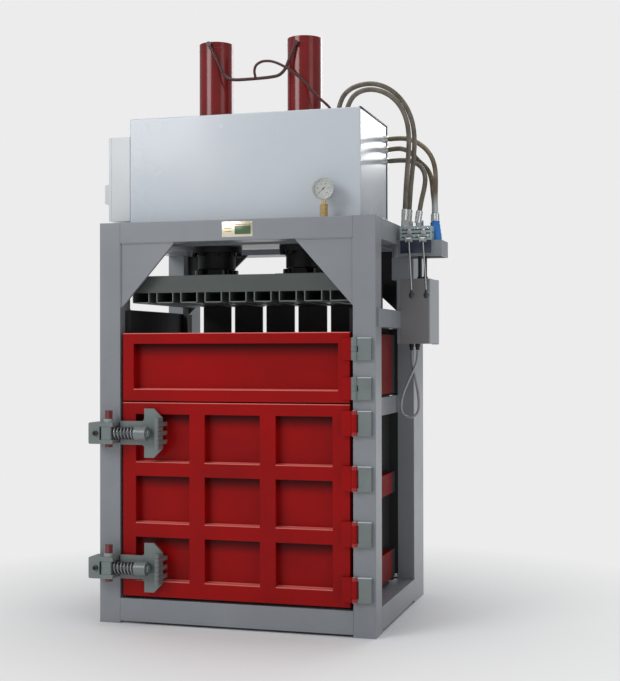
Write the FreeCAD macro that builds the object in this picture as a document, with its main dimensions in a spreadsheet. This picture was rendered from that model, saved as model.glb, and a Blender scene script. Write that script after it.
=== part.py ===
"""Vertical twin-cylinder recycling baler, front loaded, as an assembly of welded, turned and folded pieces.

Millimetres. X runs to the right, Y to the back and Z up. The machine's own middle lies at
(centre_x, centre_y), so that the row's origin is under the middle of everything that stands out of it.
"""

import FreeCAD, Part
import math
import os

import Sketcher
from FreeCAD import Placement, Rotation, Vector

doc = FreeCAD.newDocument("Baler")
sheet = doc.addObject("Spreadsheet::Sheet", "Sizes")
nodes = []


# ---------------------------------------------------------------- sizes that carry their formula

class Size:
    """A number together with the spreadsheet formula that gives it."""

    def __init__(self, text, value):
        self.text = text
        self.value = float(value)

    @staticmethod
    def of(other):
        return other if isinstance(other, Size) else Size(repr(float(other)), other)

    def __add__(self, other):
        other = Size.of(other)
        return Size(f"({self.text} + {other.text})", self.value + other.value)

    def __sub__(self, other):
        other = Size.of(other)
        return Size(f"({self.text} - {other.text})", self.value - other.value)

    def __mul__(self, other):
        other = Size.of(other)
        return Size(f"({self.text} * {other.text})", self.value * other.value)

    def __truediv__(self, other):
        other = Size.of(other)
        return Size(f"({self.text} / {other.text})", self.value / other.value)

    def __neg__(self):
        return Size(f"(0 - {self.text})", -self.value)

    def __radd__(self, other):
        return Size.of(other) + self

    def __rsub__(self, other):
        return Size.of(other) - self

    def __rmul__(self, other):
        return Size.of(other) * self


def size(alias, value):
    """Write one driving dimension in the next row of the sheet."""
    size.row += 1
    sheet.set(f"A{size.row}", alias.replace("_", " "))
    sheet.set(f"B{size.row}", str(value))
    sheet.setAlias(f"B{size.row}", alias)
    return Size(f"Sizes.{alias}", value)


size.row = 0


def bind(thing, path, value):
    """Tie a property to its formula."""
    thing.setExpression(path, Size.of(value).text)


def number(value):
    return Size.of(value).value


# ---------------------------------------------------------------- helpers

def move(thing, x=0, y=0, z=0):
    """Place a piece of a sub-part in the machine's own frame."""
    for axis, value in zip("xyz", (x, y, z)):
        bind(thing, f"Placement.Base.{axis}", value)
    return thing


def keep(thing, label):
    """Name a sub-part and shift it from the machine's middle to the row's frame."""
    thing.Label = label
    move(thing, centre_x, centre_y, 0)
    nodes.append(thing)
    return thing


def block(x, y, z):
    """A box between two limits on each axis."""
    box = doc.addObject("Part::Box", "Block")
    bind(box, "Length", Size.of(x[1]) - x[0])
    bind(box, "Width", Size.of(y[1]) - y[0])
    bind(box, "Height", Size.of(z[1]) - z[0])
    return move(box, x[0], y[0], z[0])


TURNS = {
    "z": Rotation(),
    "x": Rotation(Vector(0, 1, 0), 90),
    "y": Rotation(Vector(1, 0, 0), -90),
}


def rod(centre, radius, span, along="z"):
    """A cylinder along an axis; centre gives the two other coordinates in X, Y, Z order."""
    bar = doc.addObject("Part::Cylinder", "Rod")
    bind(bar, "Radius", radius)
    bind(bar, "Height", Size.of(span[1]) - span[0])
    bar.Placement = Placement(Vector(), TURNS[along])
    first, second = centre
    at = {"z": (first, second, span[0]), "x": (span[0], first, second), "y": (first, span[0], second)}
    return move(bar, *at[along])


def taper(centre, radii, span):
    """An upright cone."""
    cone = doc.addObject("Part::Cone", "Taper")
    bind(cone, "Radius1", radii[0])
    bind(cone, "Radius2", radii[1])
    bind(cone, "Height", Size.of(span[1]) - span[0])
    return move(cone, centre[0], centre[1], span[0])


def prism(centre, across_flats, span):
    """An upright hexagon."""
    hexagon = doc.addObject("Part::Prism", "Hexagon")
    hexagon.Polygon = 6
    bind(hexagon, "Circumradius", Size.of(across_flats) / math.sqrt(3))
    bind(hexagon, "Height", Size.of(span[1]) - span[0])
    return move(hexagon, centre[0], centre[1], span[0])


def fuse(*things):
    whole = doc.addObject("Part::MultiFuse", "Whole")
    whole.Shapes = list(things)
    whole.Refine = True
    return whole


def cut(base, *tools):
    rest = doc.addObject("Part::Cut", "Rest")
    rest.Base = base
    rest.Tool = tools[0] if len(tools) == 1 else fuse(*tools)
    return rest


def group(*things):
    """Separate solids that share one node."""
    together = doc.addObject("Part::Compound", "Group")
    together.Links = list(things)
    return together


def new_body():
    return doc.addObject("PartDesign::Body", "Body")


def outline(body, plane, loops, level=0):
    """A sketch on one of the body's origin planes; every corner is held by its two distances."""
    sketch = body.newObject("Sketcher::SketchObject", "Outline")
    role = next(f for f in body.Origin.OriginFeatures if f.Role == plane)
    sketch.AttachmentSupport = (role, [""])
    sketch.MapMode = "FlatFace"
    bind(sketch, "AttachmentOffset.Base.z", level)
    for loop in loops:
        if len(loop) == 3 and not isinstance(loop[0], tuple):
            circle(sketch, *loop)
        else:
            polygon(sketch, loop)
    return sketch


def hold(sketch, kind, *reference, value):
    index = sketch.addConstraint(Sketcher.Constraint(kind, *reference, number(value)))
    bind(sketch, f"Constraints[{index}]", value)


def circle(sketch, x, y, radius):
    index = sketch.addGeometry(Part.Circle(Vector(number(x), number(y), 0), Vector(0, 0, 1), number(radius)))
    hold(sketch, "DistanceX", -1, 1, index, 3, value=x)
    hold(sketch, "DistanceY", -1, 1, index, 3, value=y)
    hold(sketch, "Radius", index, value=radius)


def polygon(sketch, corners):
    points = [Vector(number(x), number(y), 0) for x, y in corners]
    lines = [
        sketch.addGeometry(Part.LineSegment(here, points[(i + 1) % len(points)]))
        for i, here in enumerate(points)
    ]
    for i, line in enumerate(lines):
        after = lines[(i + 1) % len(lines)]
        sketch.addConstraint(Sketcher.Constraint("Coincident", line, 2, after, 1))
    for line, (x, y) in zip(lines, corners):
        hold(sketch, "DistanceX", -1, 1, line, 1, value=x)
        hold(sketch, "DistanceY", -1, 1, line, 1, value=y)


def rectangle(x, y):
    return [(x[0], y[0]), (x[1], y[0]), (x[1], y[1]), (x[0], y[1])]


def pad(body, plane, loops, start, end):
    """Material between two levels along the plane's normal."""
    feature = body.newObject("PartDesign::Pad", "Pad")
    feature.Profile = outline(body, plane, loops, start)
    bind(feature, "Length", Size.of(end) - start)
    return feature


def pocket(body, plane, loops, start, end):
    """Material taken away between two levels along the plane's normal."""
    doc.recompute()
    before = body.Shape.Volume
    feature = body.newObject("PartDesign::Pocket", "Pocket")
    feature.Profile = outline(body, plane, loops, start)
    feature.Reversed = True
    bind(feature, "Length", Size.of(end) - start)
    doc.recompute()
    if body.Shape.Volume >= before:
        raise RuntimeError(f"a pocket in {body.Label} cuts nothing")
    return feature


def round_edges(body, radius, wanted):
    """Fillet the edges of the body that the test picks."""
    doc.recompute()
    base = body.Tip
    names = [f"Edge{i + 1}" for i, edge in enumerate(base.Shape.Edges) if wanted(edge)]
    feature = body.newObject("PartDesign::Fillet", "Round")
    feature.Base = (base, names)
    bind(feature, "Radius", radius)
    return feature


def runs_along(axis):
    """Test for straight edges along an axis."""
    way = {"x": Vector(1, 0, 0), "y": Vector(0, 1, 0), "z": Vector(0, 0, 1)}[axis]

    def test(edge):
        if edge.Curve.TypeId != "Part::GeomLine":
            return False
        return abs(abs(edge.Curve.Direction.dot(way)) - 1) < 1e-6

    return test


def both(first, second):
    return lambda edge: first(edge) and second(edge)


def outermost(x, y):
    """Test for edges whose middle lies at one of two X limits and one of two Y limits."""
    def test(edge):
        middle = edge.BoundBox.Center
        at_x = min(abs(middle.x - number(v)) for v in x) < 0.01
        at_y = min(abs(middle.y - number(v)) for v in y) < 0.01
        return at_x and at_y

    return test


# ---------------------------------------------------------------- driving dimensions

# Where the machine's middle lies in the row's frame.
centre_x = size("centre_x", -80)
centre_y = size("centre_y", 52)

# Welded frame of rectangular tube.
frame_width = size("frame_width", 1380)
frame_depth = size("frame_depth", 1116)
post_width = size("post_width", 108)
front_post_depth = size("front_post_depth", 120)
rear_post_width = size("rear_post_width", 92)
rear_post_depth = size("rear_post_depth", 248)
rear_beam_depth = size("rear_beam_depth", 195)
foot_height = size("foot_height", 12)
base_beam_height = size("base_beam_height", 110)
top_beam_height = size("top_beam_height", 100)
tube_wall = size("tube_wall", 6)
tube_radius = size("tube_radius", 3)
gusset_reach = size("gusset_reach", 280)
gusset_drop = size("gusset_drop", 316)
gusset_thickness = size("gusset_thickness", 16)
gusset_inset = size("gusset_inset", 8)
rear_gusset_reach = size("rear_gusset_reach", 350)
rear_gusset_drop = size("rear_gusset_drop", 325)
rail_thickness = size("rail_thickness", 16)
rail_height = size("rail_height", 90)
rail_lap = size("rail_lap", 50)
lower_rail_drop = size("lower_rail_drop", 77)
upper_rail_rise = size("upper_rail_rise", 26)

half = frame_width / 2
inner = half - post_width
rear_inner = half - rear_post_width
front = -frame_depth / 2
back = frame_depth / 2
front_post_back = front + front_post_depth
rear_post_front = back - rear_post_depth
rear_beam_front = back - rear_beam_depth
base_top = foot_height + base_beam_height

# The stack of floor, lower door, upper door, feed opening and top beam gives the frame's height.
floor_thickness = size("floor_thickness", 12)
door_clearance = size("door_clearance", 2)
lower_door_height = size("lower_door_height", 934)
door_split = size("door_split", 6)
upper_door_height = size("upper_door_height", 328)
feed_height = size("feed_height", 436)

floor_top = base_top + floor_thickness
lower_door_bottom = floor_top + door_clearance
lower_door_top = lower_door_bottom + lower_door_height
upper_door_bottom = lower_door_top + door_split
upper_door_top = upper_door_bottom + upper_door_height
beam_bottom = upper_door_top + feed_height
frame_height = beam_bottom + top_beam_height
lower_rail_level = lower_door_top - lower_rail_drop
upper_rail_level = upper_door_top + upper_rail_rise

# Press: two cylinders through a head plate.
press_offset = size("press_offset", 408)
press_inset = size("press_inset", 348)
head_thickness = size("head_thickness", 30)
head_depth = size("head_depth", 300)
barrel_radius = size("barrel_radius", 86)
bore_radius = size("bore_radius", 70)
barrel_cap = size("barrel_cap", 15)
barrel_fit = size("barrel_fit", 0.2)
piston_end_gap = size("piston_end_gap", 10)
barrel_end_gap = size("barrel_end_gap", 6)
rod_flange_radius = size("rod_flange_radius", 110)
rod_flange_height = size("rod_flange_height", 25)
gland_radius = size("gland_radius", 95)
gland_height = size("gland_height", 80)
flange_radius = size("flange_radius", 128)
flange_height = size("flange_height", 30)
flange_bolt_circle = size("flange_bolt_circle", 112)
flange_bolt_size = size("flange_bolt_size", 24)
rod_radius = size("rod_radius", 45)
piston_height = size("piston_height", 100)
running_fit = size("running_fit", 0.05)
stroke = size("stroke", 900)

press_y = front + press_offset
press_reach = inner - press_inset
cylinder_places = (-press_reach, press_reach)

# Platen.
platen_gap = size("platen_side_gap", 7)
platen_front_gap = size("platen_front_gap", 5)
parked_gap = size("parked_gap", 7)
platen_height = size("platen_height", 82)
platen_wall = size("platen_wall", 12)
platen_back_gap = size("platen_back_gap", 8)
seat_thickness = size("seat_thickness", 16)
seat_margin = size("seat_margin", 8)
girder_spacing = size("girder_spacing", 130)
channel_count = 9
channel_edge = size("channel_edge", 1)
channel_width = size("channel_width", 88)
channel_height = size("channel_height", 50)
channel_wall = size("channel_wall", 5)
channel_radius = size("channel_radius", 8)

# Baling chamber.
chamber_inset = size("chamber_inset", 30)
chamber_depth = size("chamber_depth", 680)
wall_thickness = size("wall_thickness", 8)
wall_rise = size("wall_rise", 111)
cross_beam_depth = size("cross_beam_depth", 110)
cross_beam_lead = size("cross_beam_lead", 30)
jamb_depth = size("jamb_depth", 30)
rear_wall_rise = size("rear_wall_rise", 256)
slot_width = size("slot_width", 21)
end_slot_width = size("end_slot_width", 92)
end_slot_inset = size("end_slot_inset", 103)
end_slot_gap = size("end_slot_gap", 213.5)
slot_sill = size("slot_sill", 166)
slot_head = size("slot_head", 60)
stiffener_depth = size("stiffener_depth", 60)
stiffener_margin = size("stiffener_margin", 65)
wall_flange = size("wall_flange", 6)
rib_depth = size("rib_depth", 40)
rib_gap = size("rib_gap", 8)
low_rib_gap = size("low_rib_gap", 16)
low_rib_height = size("low_rib_height", 143)
middle_rib_gap = size("middle_rib_gap", 292)
middle_rib_height = size("middle_rib_height", 106)
high_rib_gap = size("high_rib_gap", 15)
high_rib_head = size("high_rib_head", 32)
chamber_half = inner - chamber_inset
end_slot_place = inner - end_slot_inset
slot_pitch = (end_slot_place - end_slot_gap) / 1.5
stiffener_width = slot_pitch - stiffener_margin

# Doors.
door_gap = size("door_gap", 15)
door_thickness = size("door_thickness", 50)
door_skin = size("door_skin", 6)
door_radius = size("door_radius", 3)
upper_stile = size("upper_stile", 56)
upper_rail_low = size("upper_door_low_rail", 58)
upper_rail_high = size("upper_door_high_rail", 52)
latch_stile = size("latch_stile", 67.5)
lower_stile = size("lower_stile", 83)
panel_rib = size("panel_rib", 79)
lower_rail_low = size("lower_door_low_rail", 77)
panel_step = size("panel_step", 12.3)
middle_panel_step = size("middle_panel_step", 4)
low_cross_rail = size("low_cross_rail", 70)
high_cross_rail = size("high_cross_rail", 68.7)
lower_rail_high = size("lower_door_high_rail", 57.5)
mean_panel_height = (lower_door_height - lower_rail_low - low_cross_rail - high_cross_rail - lower_rail_high) / 3
low_panel_height = mean_panel_height - panel_step
middle_panel_height = mean_panel_height + middle_panel_step

door_half = inner - door_gap
door_back = front + door_thickness
chamber_front = door_back + size("chamber_front_gap", 8)
chamber_back = chamber_front + chamber_depth

# Door hinges, in front of the doors and the right post.
hinge_radius = size("hinge_radius", 14)
hinge_pin_radius = size("hinge_pin_radius", 7)
hinge_height = size("hinge_height", 115)
hinge_tongue = size("hinge_tongue_height", 80)
upper_hinge_height = size("upper_hinge_height", 103)
upper_hinge_tongue = size("upper_hinge_tongue_height", 24)
hinge_play = size("hinge_play", 1)
hinge_reach = size("hinge_reach", 10)
hinge_plate_width = size("hinge_plate_width", 60)
hinge_leaf_width = size("hinge_leaf_width", 45)
hinge_plate_thickness = size("hinge_plate_thickness", 18)
hinge_plate_gap = size("hinge_plate_gap", 6)
hinge_leaf_thickness = size("hinge_leaf_thickness", 20)
upper_leaf_thickness = size("upper_leaf_thickness", 12)
hinge_standoff = size("hinge_standoff", 2)
hinge_end = size("hinge_end_distance", 86)
upper_hinge_low = size("upper_hinge_low_end", 68)
upper_hinge_high = size("upper_hinge_high_end", 78)
hinge_x = inner + hinge_reach
hinge_y = front - hinge_radius - hinge_standoff

# Spring latches on the lower door.
upper_latch_drop = size("upper_latch_drop", 89)
lower_latch_rise = size("lower_latch_rise", 66)
latch_lead = size("latch_lead", 60)
latch_bolt_place = size("latch_bolt_place", 75)
latch_bolt_radius = size("latch_bolt_radius", 14)
fork_width = size("fork_width", 126)
fork_web = size("fork_web", 57)
fork_overhang = size("fork_overhang", 16)
fork_ear = size("fork_ear", 20)
fork_slot = size("fork_slot", 63)
fork_depth = size("fork_depth", 92)
fork_radius = size("fork_radius", 8)
bolt_head_flats = size("bolt_head_flats", 36)
bolt_head_height = size("bolt_head_height", 57)
bolt_collar_radius = size("bolt_collar_radius", 23)
bolt_collar_height = size("bolt_collar_height", 17)
bolt_nut_flats = size("bolt_nut_flats", 36)
bolt_nut_height = size("bolt_nut_height", 16)
socket_place = size("socket_bolt_place", 38)
socket_radius = size("socket_bolt_radius", 12)
socket_height = size("socket_bolt_height", 12)
hook_height = size("hook_height", 61)
hook_play = size("hook_play", 4)
hook_clearance = size("hook_clearance", 2.5)
hook_leg = size("hook_leg", 9.5)
hook_web = size("hook_web", 14)
hook_reach = size("hook_reach", 16)
hook_radius = size("hook_radius", 6)
draw_rod_radius = size("draw_rod_radius", 11)
draw_fit = size("draw_fit", 0.1)
draw_nut_radius = size("draw_nut_radius", 18)
draw_nut_length = size("draw_nut_length", 12)
draw_tail = size("draw_tail", 4)
seat_clearance = size("seat_clearance", 0.3)
spring_length = size("spring_length", 115)
spring_turns = 6
spring_wire = size("spring_wire_radius", 5)
spring_mean = size("spring_mean_radius", 25.5)
sleeve_radius = size("sleeve_radius", 34)
sleeve_length = size("sleeve_length", 58)
saddle_half = size("saddle_half_height", 24)
bar_overhang = size("bar_overhang", 96)
latch_plate_stand = size("latch_plate_stand", 13)
latch_plate_thickness = size("latch_plate_thickness", 12)
latch_bar_half = size("latch_bar_half_height", 57)
latch_head_half = size("latch_head_half_height", 118)
latch_head_width = size("latch_head_width", 92)
latch_head_place = size("latch_head_place", 214)
latch_chamfer = size("latch_chamfer", 43)
latch_fillet = size("latch_fillet", 14)
lug_width = size("lug_width", 24)
lug_height = size("lug_height", 20)
lug_gap = size("lug_gap", 1.5)
lug_notch = size("lug_notch", 4)
lug_pin_radius = size("lug_pin_radius", 6)
bracket_base_margin = size("bracket_base_margin", 16)
bracket_base_edge = size("bracket_base_edge", 2)
bracket_base_thickness = size("bracket_base_thickness", 6)

# Cabinet on top of the frame.
cabinet_overlap = size("cabinet_overlap", 6)
cabinet_lead = size("cabinet_lead", 280)
cabinet_depth = size("cabinet_depth", 560)
cabinet_height = size("cabinet_height", 519)
cabinet_sheet = size("cabinet_sheet", 3)
cabinet_floor_sheet = size("cabinet_floor_sheet", 6)
cabinet_radius = size("cabinet_radius", 6)
barrel_clearance = size("barrel_clearance", 2)
cabinet_half = inner + cabinet_overlap
cabinet_front = press_y - cabinet_lead
cabinet_back = cabinet_front + cabinet_depth
cabinet_base = frame_height + cabinet_floor_sheet
cabinet_top = cabinet_base + cabinet_height
louvre_count = 8
louvre_drop = size("louvre_drop", 60)
louvre_pitch = size("louvre_pitch", 24)
louvre_height = size("louvre_height", 8)
louvre_width = size("louvre_width", 300)
tank_height = size("tank_height", 430)
tank_gap = size("tank_gap", 10)
tank_wall = size("tank_wall", 4)
barrel_room = size("barrel_room", 15)
motor_radius = size("motor_radius", 105)
motor_height = size("motor_height", 300)
motor_room = size("motor_room", 25)
pump_radius = size("pump_radius", 60)
pump_height = size("pump_height", 90)

# Control box on the cabinet's left side.
side_box_width = size("side_box_width", 98)
side_box_depth = size("side_box_depth", 350)
side_box_rise = size("side_box_rise", 16)
side_box_height = size("side_box_height", 416)
side_box_sheet = size("side_box_sheet", 2.5)
side_lid_depth = size("side_lid_depth", 15)
lid_gap = size("lid_gap", 1)
lid_play = size("lid_play", 0.5)
ear_thickness = size("ear_thickness", 3)
ear_length = size("ear_length", 24)
lid_knuckle = size("lid_knuckle_radius", 3.5)
lid_pivot_radius = size("lid_pivot_radius", 1.8)
lid_pivot_depth = size("lid_pivot_depth", 10)
lid_pivot_gap = size("lid_pivot_gap", 0.5)
lock_radius = size("lock_radius", 9)
lock_shaft = size("lock_shaft_radius", 4)
lock_length = size("lock_length", 8)
lock_rise = size("lock_rise", 324)
lock_inset = size("lock_inset", 30)
cowl_rise = size("cowl_rise", 141)
cowl_half_height = size("cowl_half_height", 62)
cowl_front_half_height = size("cowl_front_half_height", 46)
cowl_reach = size("cowl_reach", 50)
cowl_depth = size("cowl_depth", 130)
cowl_inset = size("cowl_inset", 60)

# Pressure gauge on the front beam.
gauge_x = size("gauge_place", 429)
gauge_inset = size("gauge_inset", 38)
gauge_height = size("gauge_height", 133)
gauge_radius = size("gauge_radius", 52)
gauge_dial_radius = size("gauge_dial_radius", 46)
gauge_depth = size("gauge_depth", 38)
gauge_rim = size("gauge_rim", 8)
gauge_glass_thickness = size("gauge_glass_thickness", 2)
needle_length = size("needle_length", 34)
needle_tail = size("needle_tail", 12)
needle_angle = math.radians(222)
needle_width = size("needle_width", 4)
stem_hex = size("stem_hex", 34)
stem_hex_height = size("stem_hex_height", 63)
stem_neck_radius = size("stem_neck_radius", 9)

# Oil pipes between the cylinders.
link_radius = size("link_pipe_radius", 8)
loop_radius = size("loop_pipe_radius", 6.5)
port_radius = size("port_radius", 13)
port_depth = size("port_depth", 12)
port_lead = size("port_lead", 21)
roof_port_radius = size("roof_port_radius", 17)
roof_port_height = size("roof_port_height", 22)

# Valve group on a tray beside the frame.
tray_reach = size("tray_reach", 222)
tray_drop = size("tray_drop", 82)
tray_height = size("tray_height", 78)
tray_front = size("tray_front_place", 458)
tray_depth = size("tray_depth", 178)
tray_sheet = size("tray_sheet", 5)
valve_left = size("valve_left", 21)
valve_width = size("valve_width", 155)
valve_height = size("valve_height", 68)
valve_lead = size("valve_lead", 16)
valve_depth = size("valve_depth", 156)
valve_notch_x = size("valve_notch_width", 47)
valve_notch_y = size("valve_notch_depth", 90)
valve_skirt = size("valve_skirt_height", 66)
left_lever_place = size("left_lever_place", 46)
right_lever_place = size("right_lever_place", 115)
left_lean, right_lean = math.radians(2.9), math.radians(3.7)
lever_radius = size("lever_radius", 4.5)
lever_length = size("lever_length", 272)
lever_knob_radius = size("lever_knob_radius", 14)
lever_lead = size("lever_lead", 18)
lever_play = size("lever_play", 0.5)
lever_boss_radius = size("lever_boss_radius", 12)
lever_pin_radius = size("lever_pin_radius", 5)
lever_ear = size("lever_ear_width", 5)
lever_boss_width = size("lever_boss_width", 20)
boot_radius = size("boot_base_radius", 30)
boot_top_radius = size("boot_top_radius", 19)
boot_height = size("boot_height", 100)
hose_radius = size("hose_radius", 12)
ferrule_radius = size("ferrule_radius", 16)
ferrule_length = size("ferrule_length", 60)
top_ferrule_outer = size("top_ferrule_outer", 18)
top_ferrule_inner = size("top_ferrule_inner", 14)
top_nut_height = size("top_nut_height", 15)
side_ferrule = size("side_ferrule", 8)
side_nut_radius = size("side_nut_radius", 19)
side_nut_length = size("side_nut_length", 11)
boot_ferrule = size("boot_ferrule", 34)
nut_flats = size("nut_flats", 34)
nut_height = size("nut_height", 34)

# Electric box hung under the tray.
box_width = size("electric_box_width", 139)
box_depth = size("electric_box_depth", 235)
box_height = size("electric_box_height", 321)
box_drop = size("electric_box_drop", 108)
box_front = size("electric_box_place", 498)
box_sheet = size("electric_box_sheet", 2)
box_lid_depth = size("electric_box_lid_depth", 8)
bracket_inset = size("bracket_inset", 8)
bracket_width = size("bracket_width", 18)
bracket_plate_inset = size("bracket_plate_inset", 35)
bracket_setback = size("bracket_setback", 2)
bracket_depth = size("bracket_depth", 178)
bracket_arm_inset = size("bracket_arm_inset", 8)
bracket_arm_depth = size("bracket_arm_depth", 110)
bracket_arm_height = size("bracket_arm_height", 70)
bracket_sheet = size("bracket_sheet", 5)
bracket_tongue = size("bracket_tongue_width", 86)
stay_thickness = size("stay_thickness", 10)
stay_height = size("stay_height", 85)
stay_drop = size("stay_drop", 2)
stay_place = size("stay_place", 24)
conduit_radius = size("conduit_radius", 9)
first_conduit_place = size("first_conduit_place", 95)
second_conduit_place = size("second_conduit_place", 122)
conduit_setback = size("conduit_setback", 60)
gland_nut_radius = size("cable_gland_radius", 13)
gland_nut_height = size("cable_gland_height", 32)
cable_radius = size("cable_radius", 6.5)

# Levels and places that follow from the sizes.
chamber_wall_back = chamber_half + wall_thickness
wall_top = upper_door_top + wall_rise
rear_wall_top = upper_door_top + rear_wall_rise
low_rib_level = floor_top + low_rib_gap
middle_rib_level = low_rib_level + low_rib_height + middle_rib_gap
high_rib_level = lower_rail_level + rail_height + high_rib_gap
rib_levels = (
    (low_rib_level, low_rib_level + low_rib_height),
    (middle_rib_level, middle_rib_level + middle_rib_height),
    (high_rib_level, upper_rail_level - high_rib_head),
)
row_one_bottom = lower_door_bottom + lower_rail_low
row_one_top = row_one_bottom + low_panel_height
row_two_bottom = row_one_top + low_cross_rail
row_two_top = row_two_bottom + middle_panel_height
row_three_bottom = row_two_top + high_cross_rail
row_three_top = lower_door_top - lower_rail_high
latch_levels = {
    "upper": row_three_top - upper_latch_drop,
    "lower": row_one_bottom + lower_latch_rise,
}
lower_hinge_span = lower_door_top - lower_door_bottom - 2 * hinge_end
lower_hinges = [lower_door_bottom + hinge_end + lower_hinge_span * i / 3 for i in range(4)]
upper_hinges = [upper_door_bottom + upper_hinge_low, upper_door_top - upper_hinge_high]
flange_bottom = beam_bottom - flange_height
piston_bottom = beam_bottom + stroke + piston_end_gap
piston_top = piston_bottom + piston_height
barrel_top = piston_top + barrel_end_gap + barrel_cap
platen_half = chamber_half - platen_gap
platen_front = chamber_front + platen_front_gap
platen_back = chamber_back - platen_back_gap
gland_bottom = flange_bottom - gland_height
seat_top = gland_bottom - parked_gap - rod_flange_height
platen_top = seat_top - seat_thickness
platen_bottom = platen_top - platen_height
seat_reach = rod_flange_radius + seat_margin
tray_top = frame_height - tray_drop
tray_bottom = tray_top - tray_height
tray_left = half
tray_right = half + tray_reach
tray_front_y = front + tray_front
tray_back_y = tray_front_y + tray_depth


def side_span(side, near, far):
    """Limits on the right side, or their mirror image on the left."""
    return (near, far) if side > 0 else (-far, -near)


PLANES = {"x": "YZ_Plane", "y": "XZ_Plane", "z": "XY_Plane"}


def section(along, x, y, z):
    """The rectangle across a bar that runs along an axis, and its two levels on that plane."""
    if along == "x":
        return rectangle(y, z), x
    if along == "y":
        return rectangle(x, z), (-y[1], -y[0])
    return rectangle(x, y), z


def tube(along, x, y, z, cap=0):
    """A rectangular frame tube with rounded edges, closed by a cap at its far end if it has one."""
    body = new_body()
    loop, (start, end) = section(along, x, y, z)
    pad(body, PLANES[along], [loop], start, end)
    round_edges(body, tube_radius, runs_along(along))
    (left, low), (right, high) = loop[0], loop[2]
    bore = rectangle((left + tube_wall, right - tube_wall), (low + tube_wall, high - tube_wall))
    pocket(body, PLANES[along], [bore], start, end - cap)
    return body


# ---------------------------------------------------------------- frame

front_post_y = (front, front_post_back)
rear_post_y = (rear_post_front, back)
post_z = (foot_height, frame_height)
for label, near, y in (("front_posts", inner, front_post_y), ("rear_posts", rear_inner, rear_post_y)):
    keep(group(*[tube("z", side_span(side, near, half), y, post_z, tube_wall) for side in (-1, 1)]), label)

beam_levels = {"top_beams": (beam_bottom, frame_height), "base_beams": (foot_height, base_top)}
cross_beam_y = (chamber_back - cross_beam_lead, chamber_back - cross_beam_lead + cross_beam_depth)
for label, z in beam_levels.items():
    beams = [tube("x", (-inner, inner), front_post_y, z), tube("x", (-rear_inner, rear_inner), (rear_beam_front, back), z)]
    between = (front_post_back, rear_post_front)
    beams += [tube("y", side_span(side, inner, half), between, z) for side in (-1, 1)]
    if label == "base_beams":
        beams.append(tube("x", (-inner, inner), cross_beam_y, z))
    keep(group(*beams), label)

gussets = []
for side in (-1, 1):
    for corner, reach, drop, gusset_front in (
        (side * inner, gusset_reach, gusset_drop, front + gusset_inset),
        (side * rear_inner, rear_gusset_reach, rear_gusset_drop, rear_beam_front + gusset_inset),
    ):
        body = new_body()
        triangle = [(corner, beam_bottom), (corner - side * reach, beam_bottom), (corner, beam_bottom - drop)]
        pad(body, "XZ_Plane", [triangle], -(gusset_front + gusset_thickness), -gusset_front)
        gussets.append(body)
keep(group(*gussets), "corner_gussets")

feet = [
    block(side_span(side, near, half), y, (0, foot_height))
    for side in (-1, 1)
    for near, y in ((inner, front_post_y), (rear_inner, rear_post_y))
]
keep(group(*feet), "foot_pads")

rails = [
    block(
        side_span(side, inner, inner + rail_thickness),
        (front_post_back, rear_post_front + rail_lap),
        (level, level + rail_height),
    )
    for side in (-1, 1)
    for level in (lower_rail_level, upper_rail_level)
]
keep(group(*rails), "side_rails")

head_y = (press_y - head_depth / 2, press_y + head_depth / 2)
plate_top = beam_bottom + head_thickness
head = fuse(
    block((-inner, inner), head_y, (beam_bottom, plate_top)),
    block((-inner, inner), (head_y[0], head_y[0] + head_thickness), (plate_top, frame_height)),
    block((-inner, inner), (head_y[1] - head_thickness, head_y[1]), (plate_top, frame_height)),
)
holes = [rod((x, press_y), barrel_radius + barrel_fit, (beam_bottom, frame_height)) for x in cylinder_places]
keep(cut(head, *holes), "press_head")


# ---------------------------------------------------------------- baling chamber

keep(group(block((-inner, inner), (chamber_front, chamber_back), (base_top, floor_top))), "chamber_floor")


def channel(face, reach, low, high, wall):
    """Corners of a folded channel that opens onto a face; the second coordinate runs across it."""
    step = wall if number(reach) > 0 else -wall
    tip = face + reach
    return [
        (face, low), (tip, low), (tip, high), (face, high),
        (face, high - wall), (tip - step, high - wall), (tip - step, low + wall), (face, low + wall),
    ]


wall_back = chamber_back + wall_thickness
flange_levels = ((low_rib_level, lower_rail_level), (lower_rail_level + rail_height, upper_rail_level))
for side, label in ((-1, "left_chamber_wall"), (1, "right_chamber_wall")):
    plate = block(
        side_span(side, chamber_half, chamber_wall_back), (chamber_front, chamber_back), (floor_top, wall_top)
    )
    jamb = block(
        side_span(side, chamber_wall_back, inner), (chamber_front, chamber_front + jamb_depth), (floor_top, wall_top)
    )
    behind = block(
        side_span(side, chamber_half, chamber_wall_back), (chamber_back, rear_post_front), (low_rib_level, wall_top)
    )
    flanges = [
        block(side_span(side, chamber_half, rear_inner + wall_flange), (rear_post_front - wall_flange, rear_post_front), z)
        for z in flange_levels
    ]
    ribs = []
    for low, high in rib_levels:
        rib = new_body()
        corners = channel(side * chamber_wall_back, side * rib_depth, low, high, wall_thickness)
        pad(rib, "XZ_Plane", [corners], -(wall_back + stiffener_depth), -(front_post_back + rib_gap))
        ribs.append(rib)
    keep(fuse(plate, jamb, behind, *flanges, *ribs), label)

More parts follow.
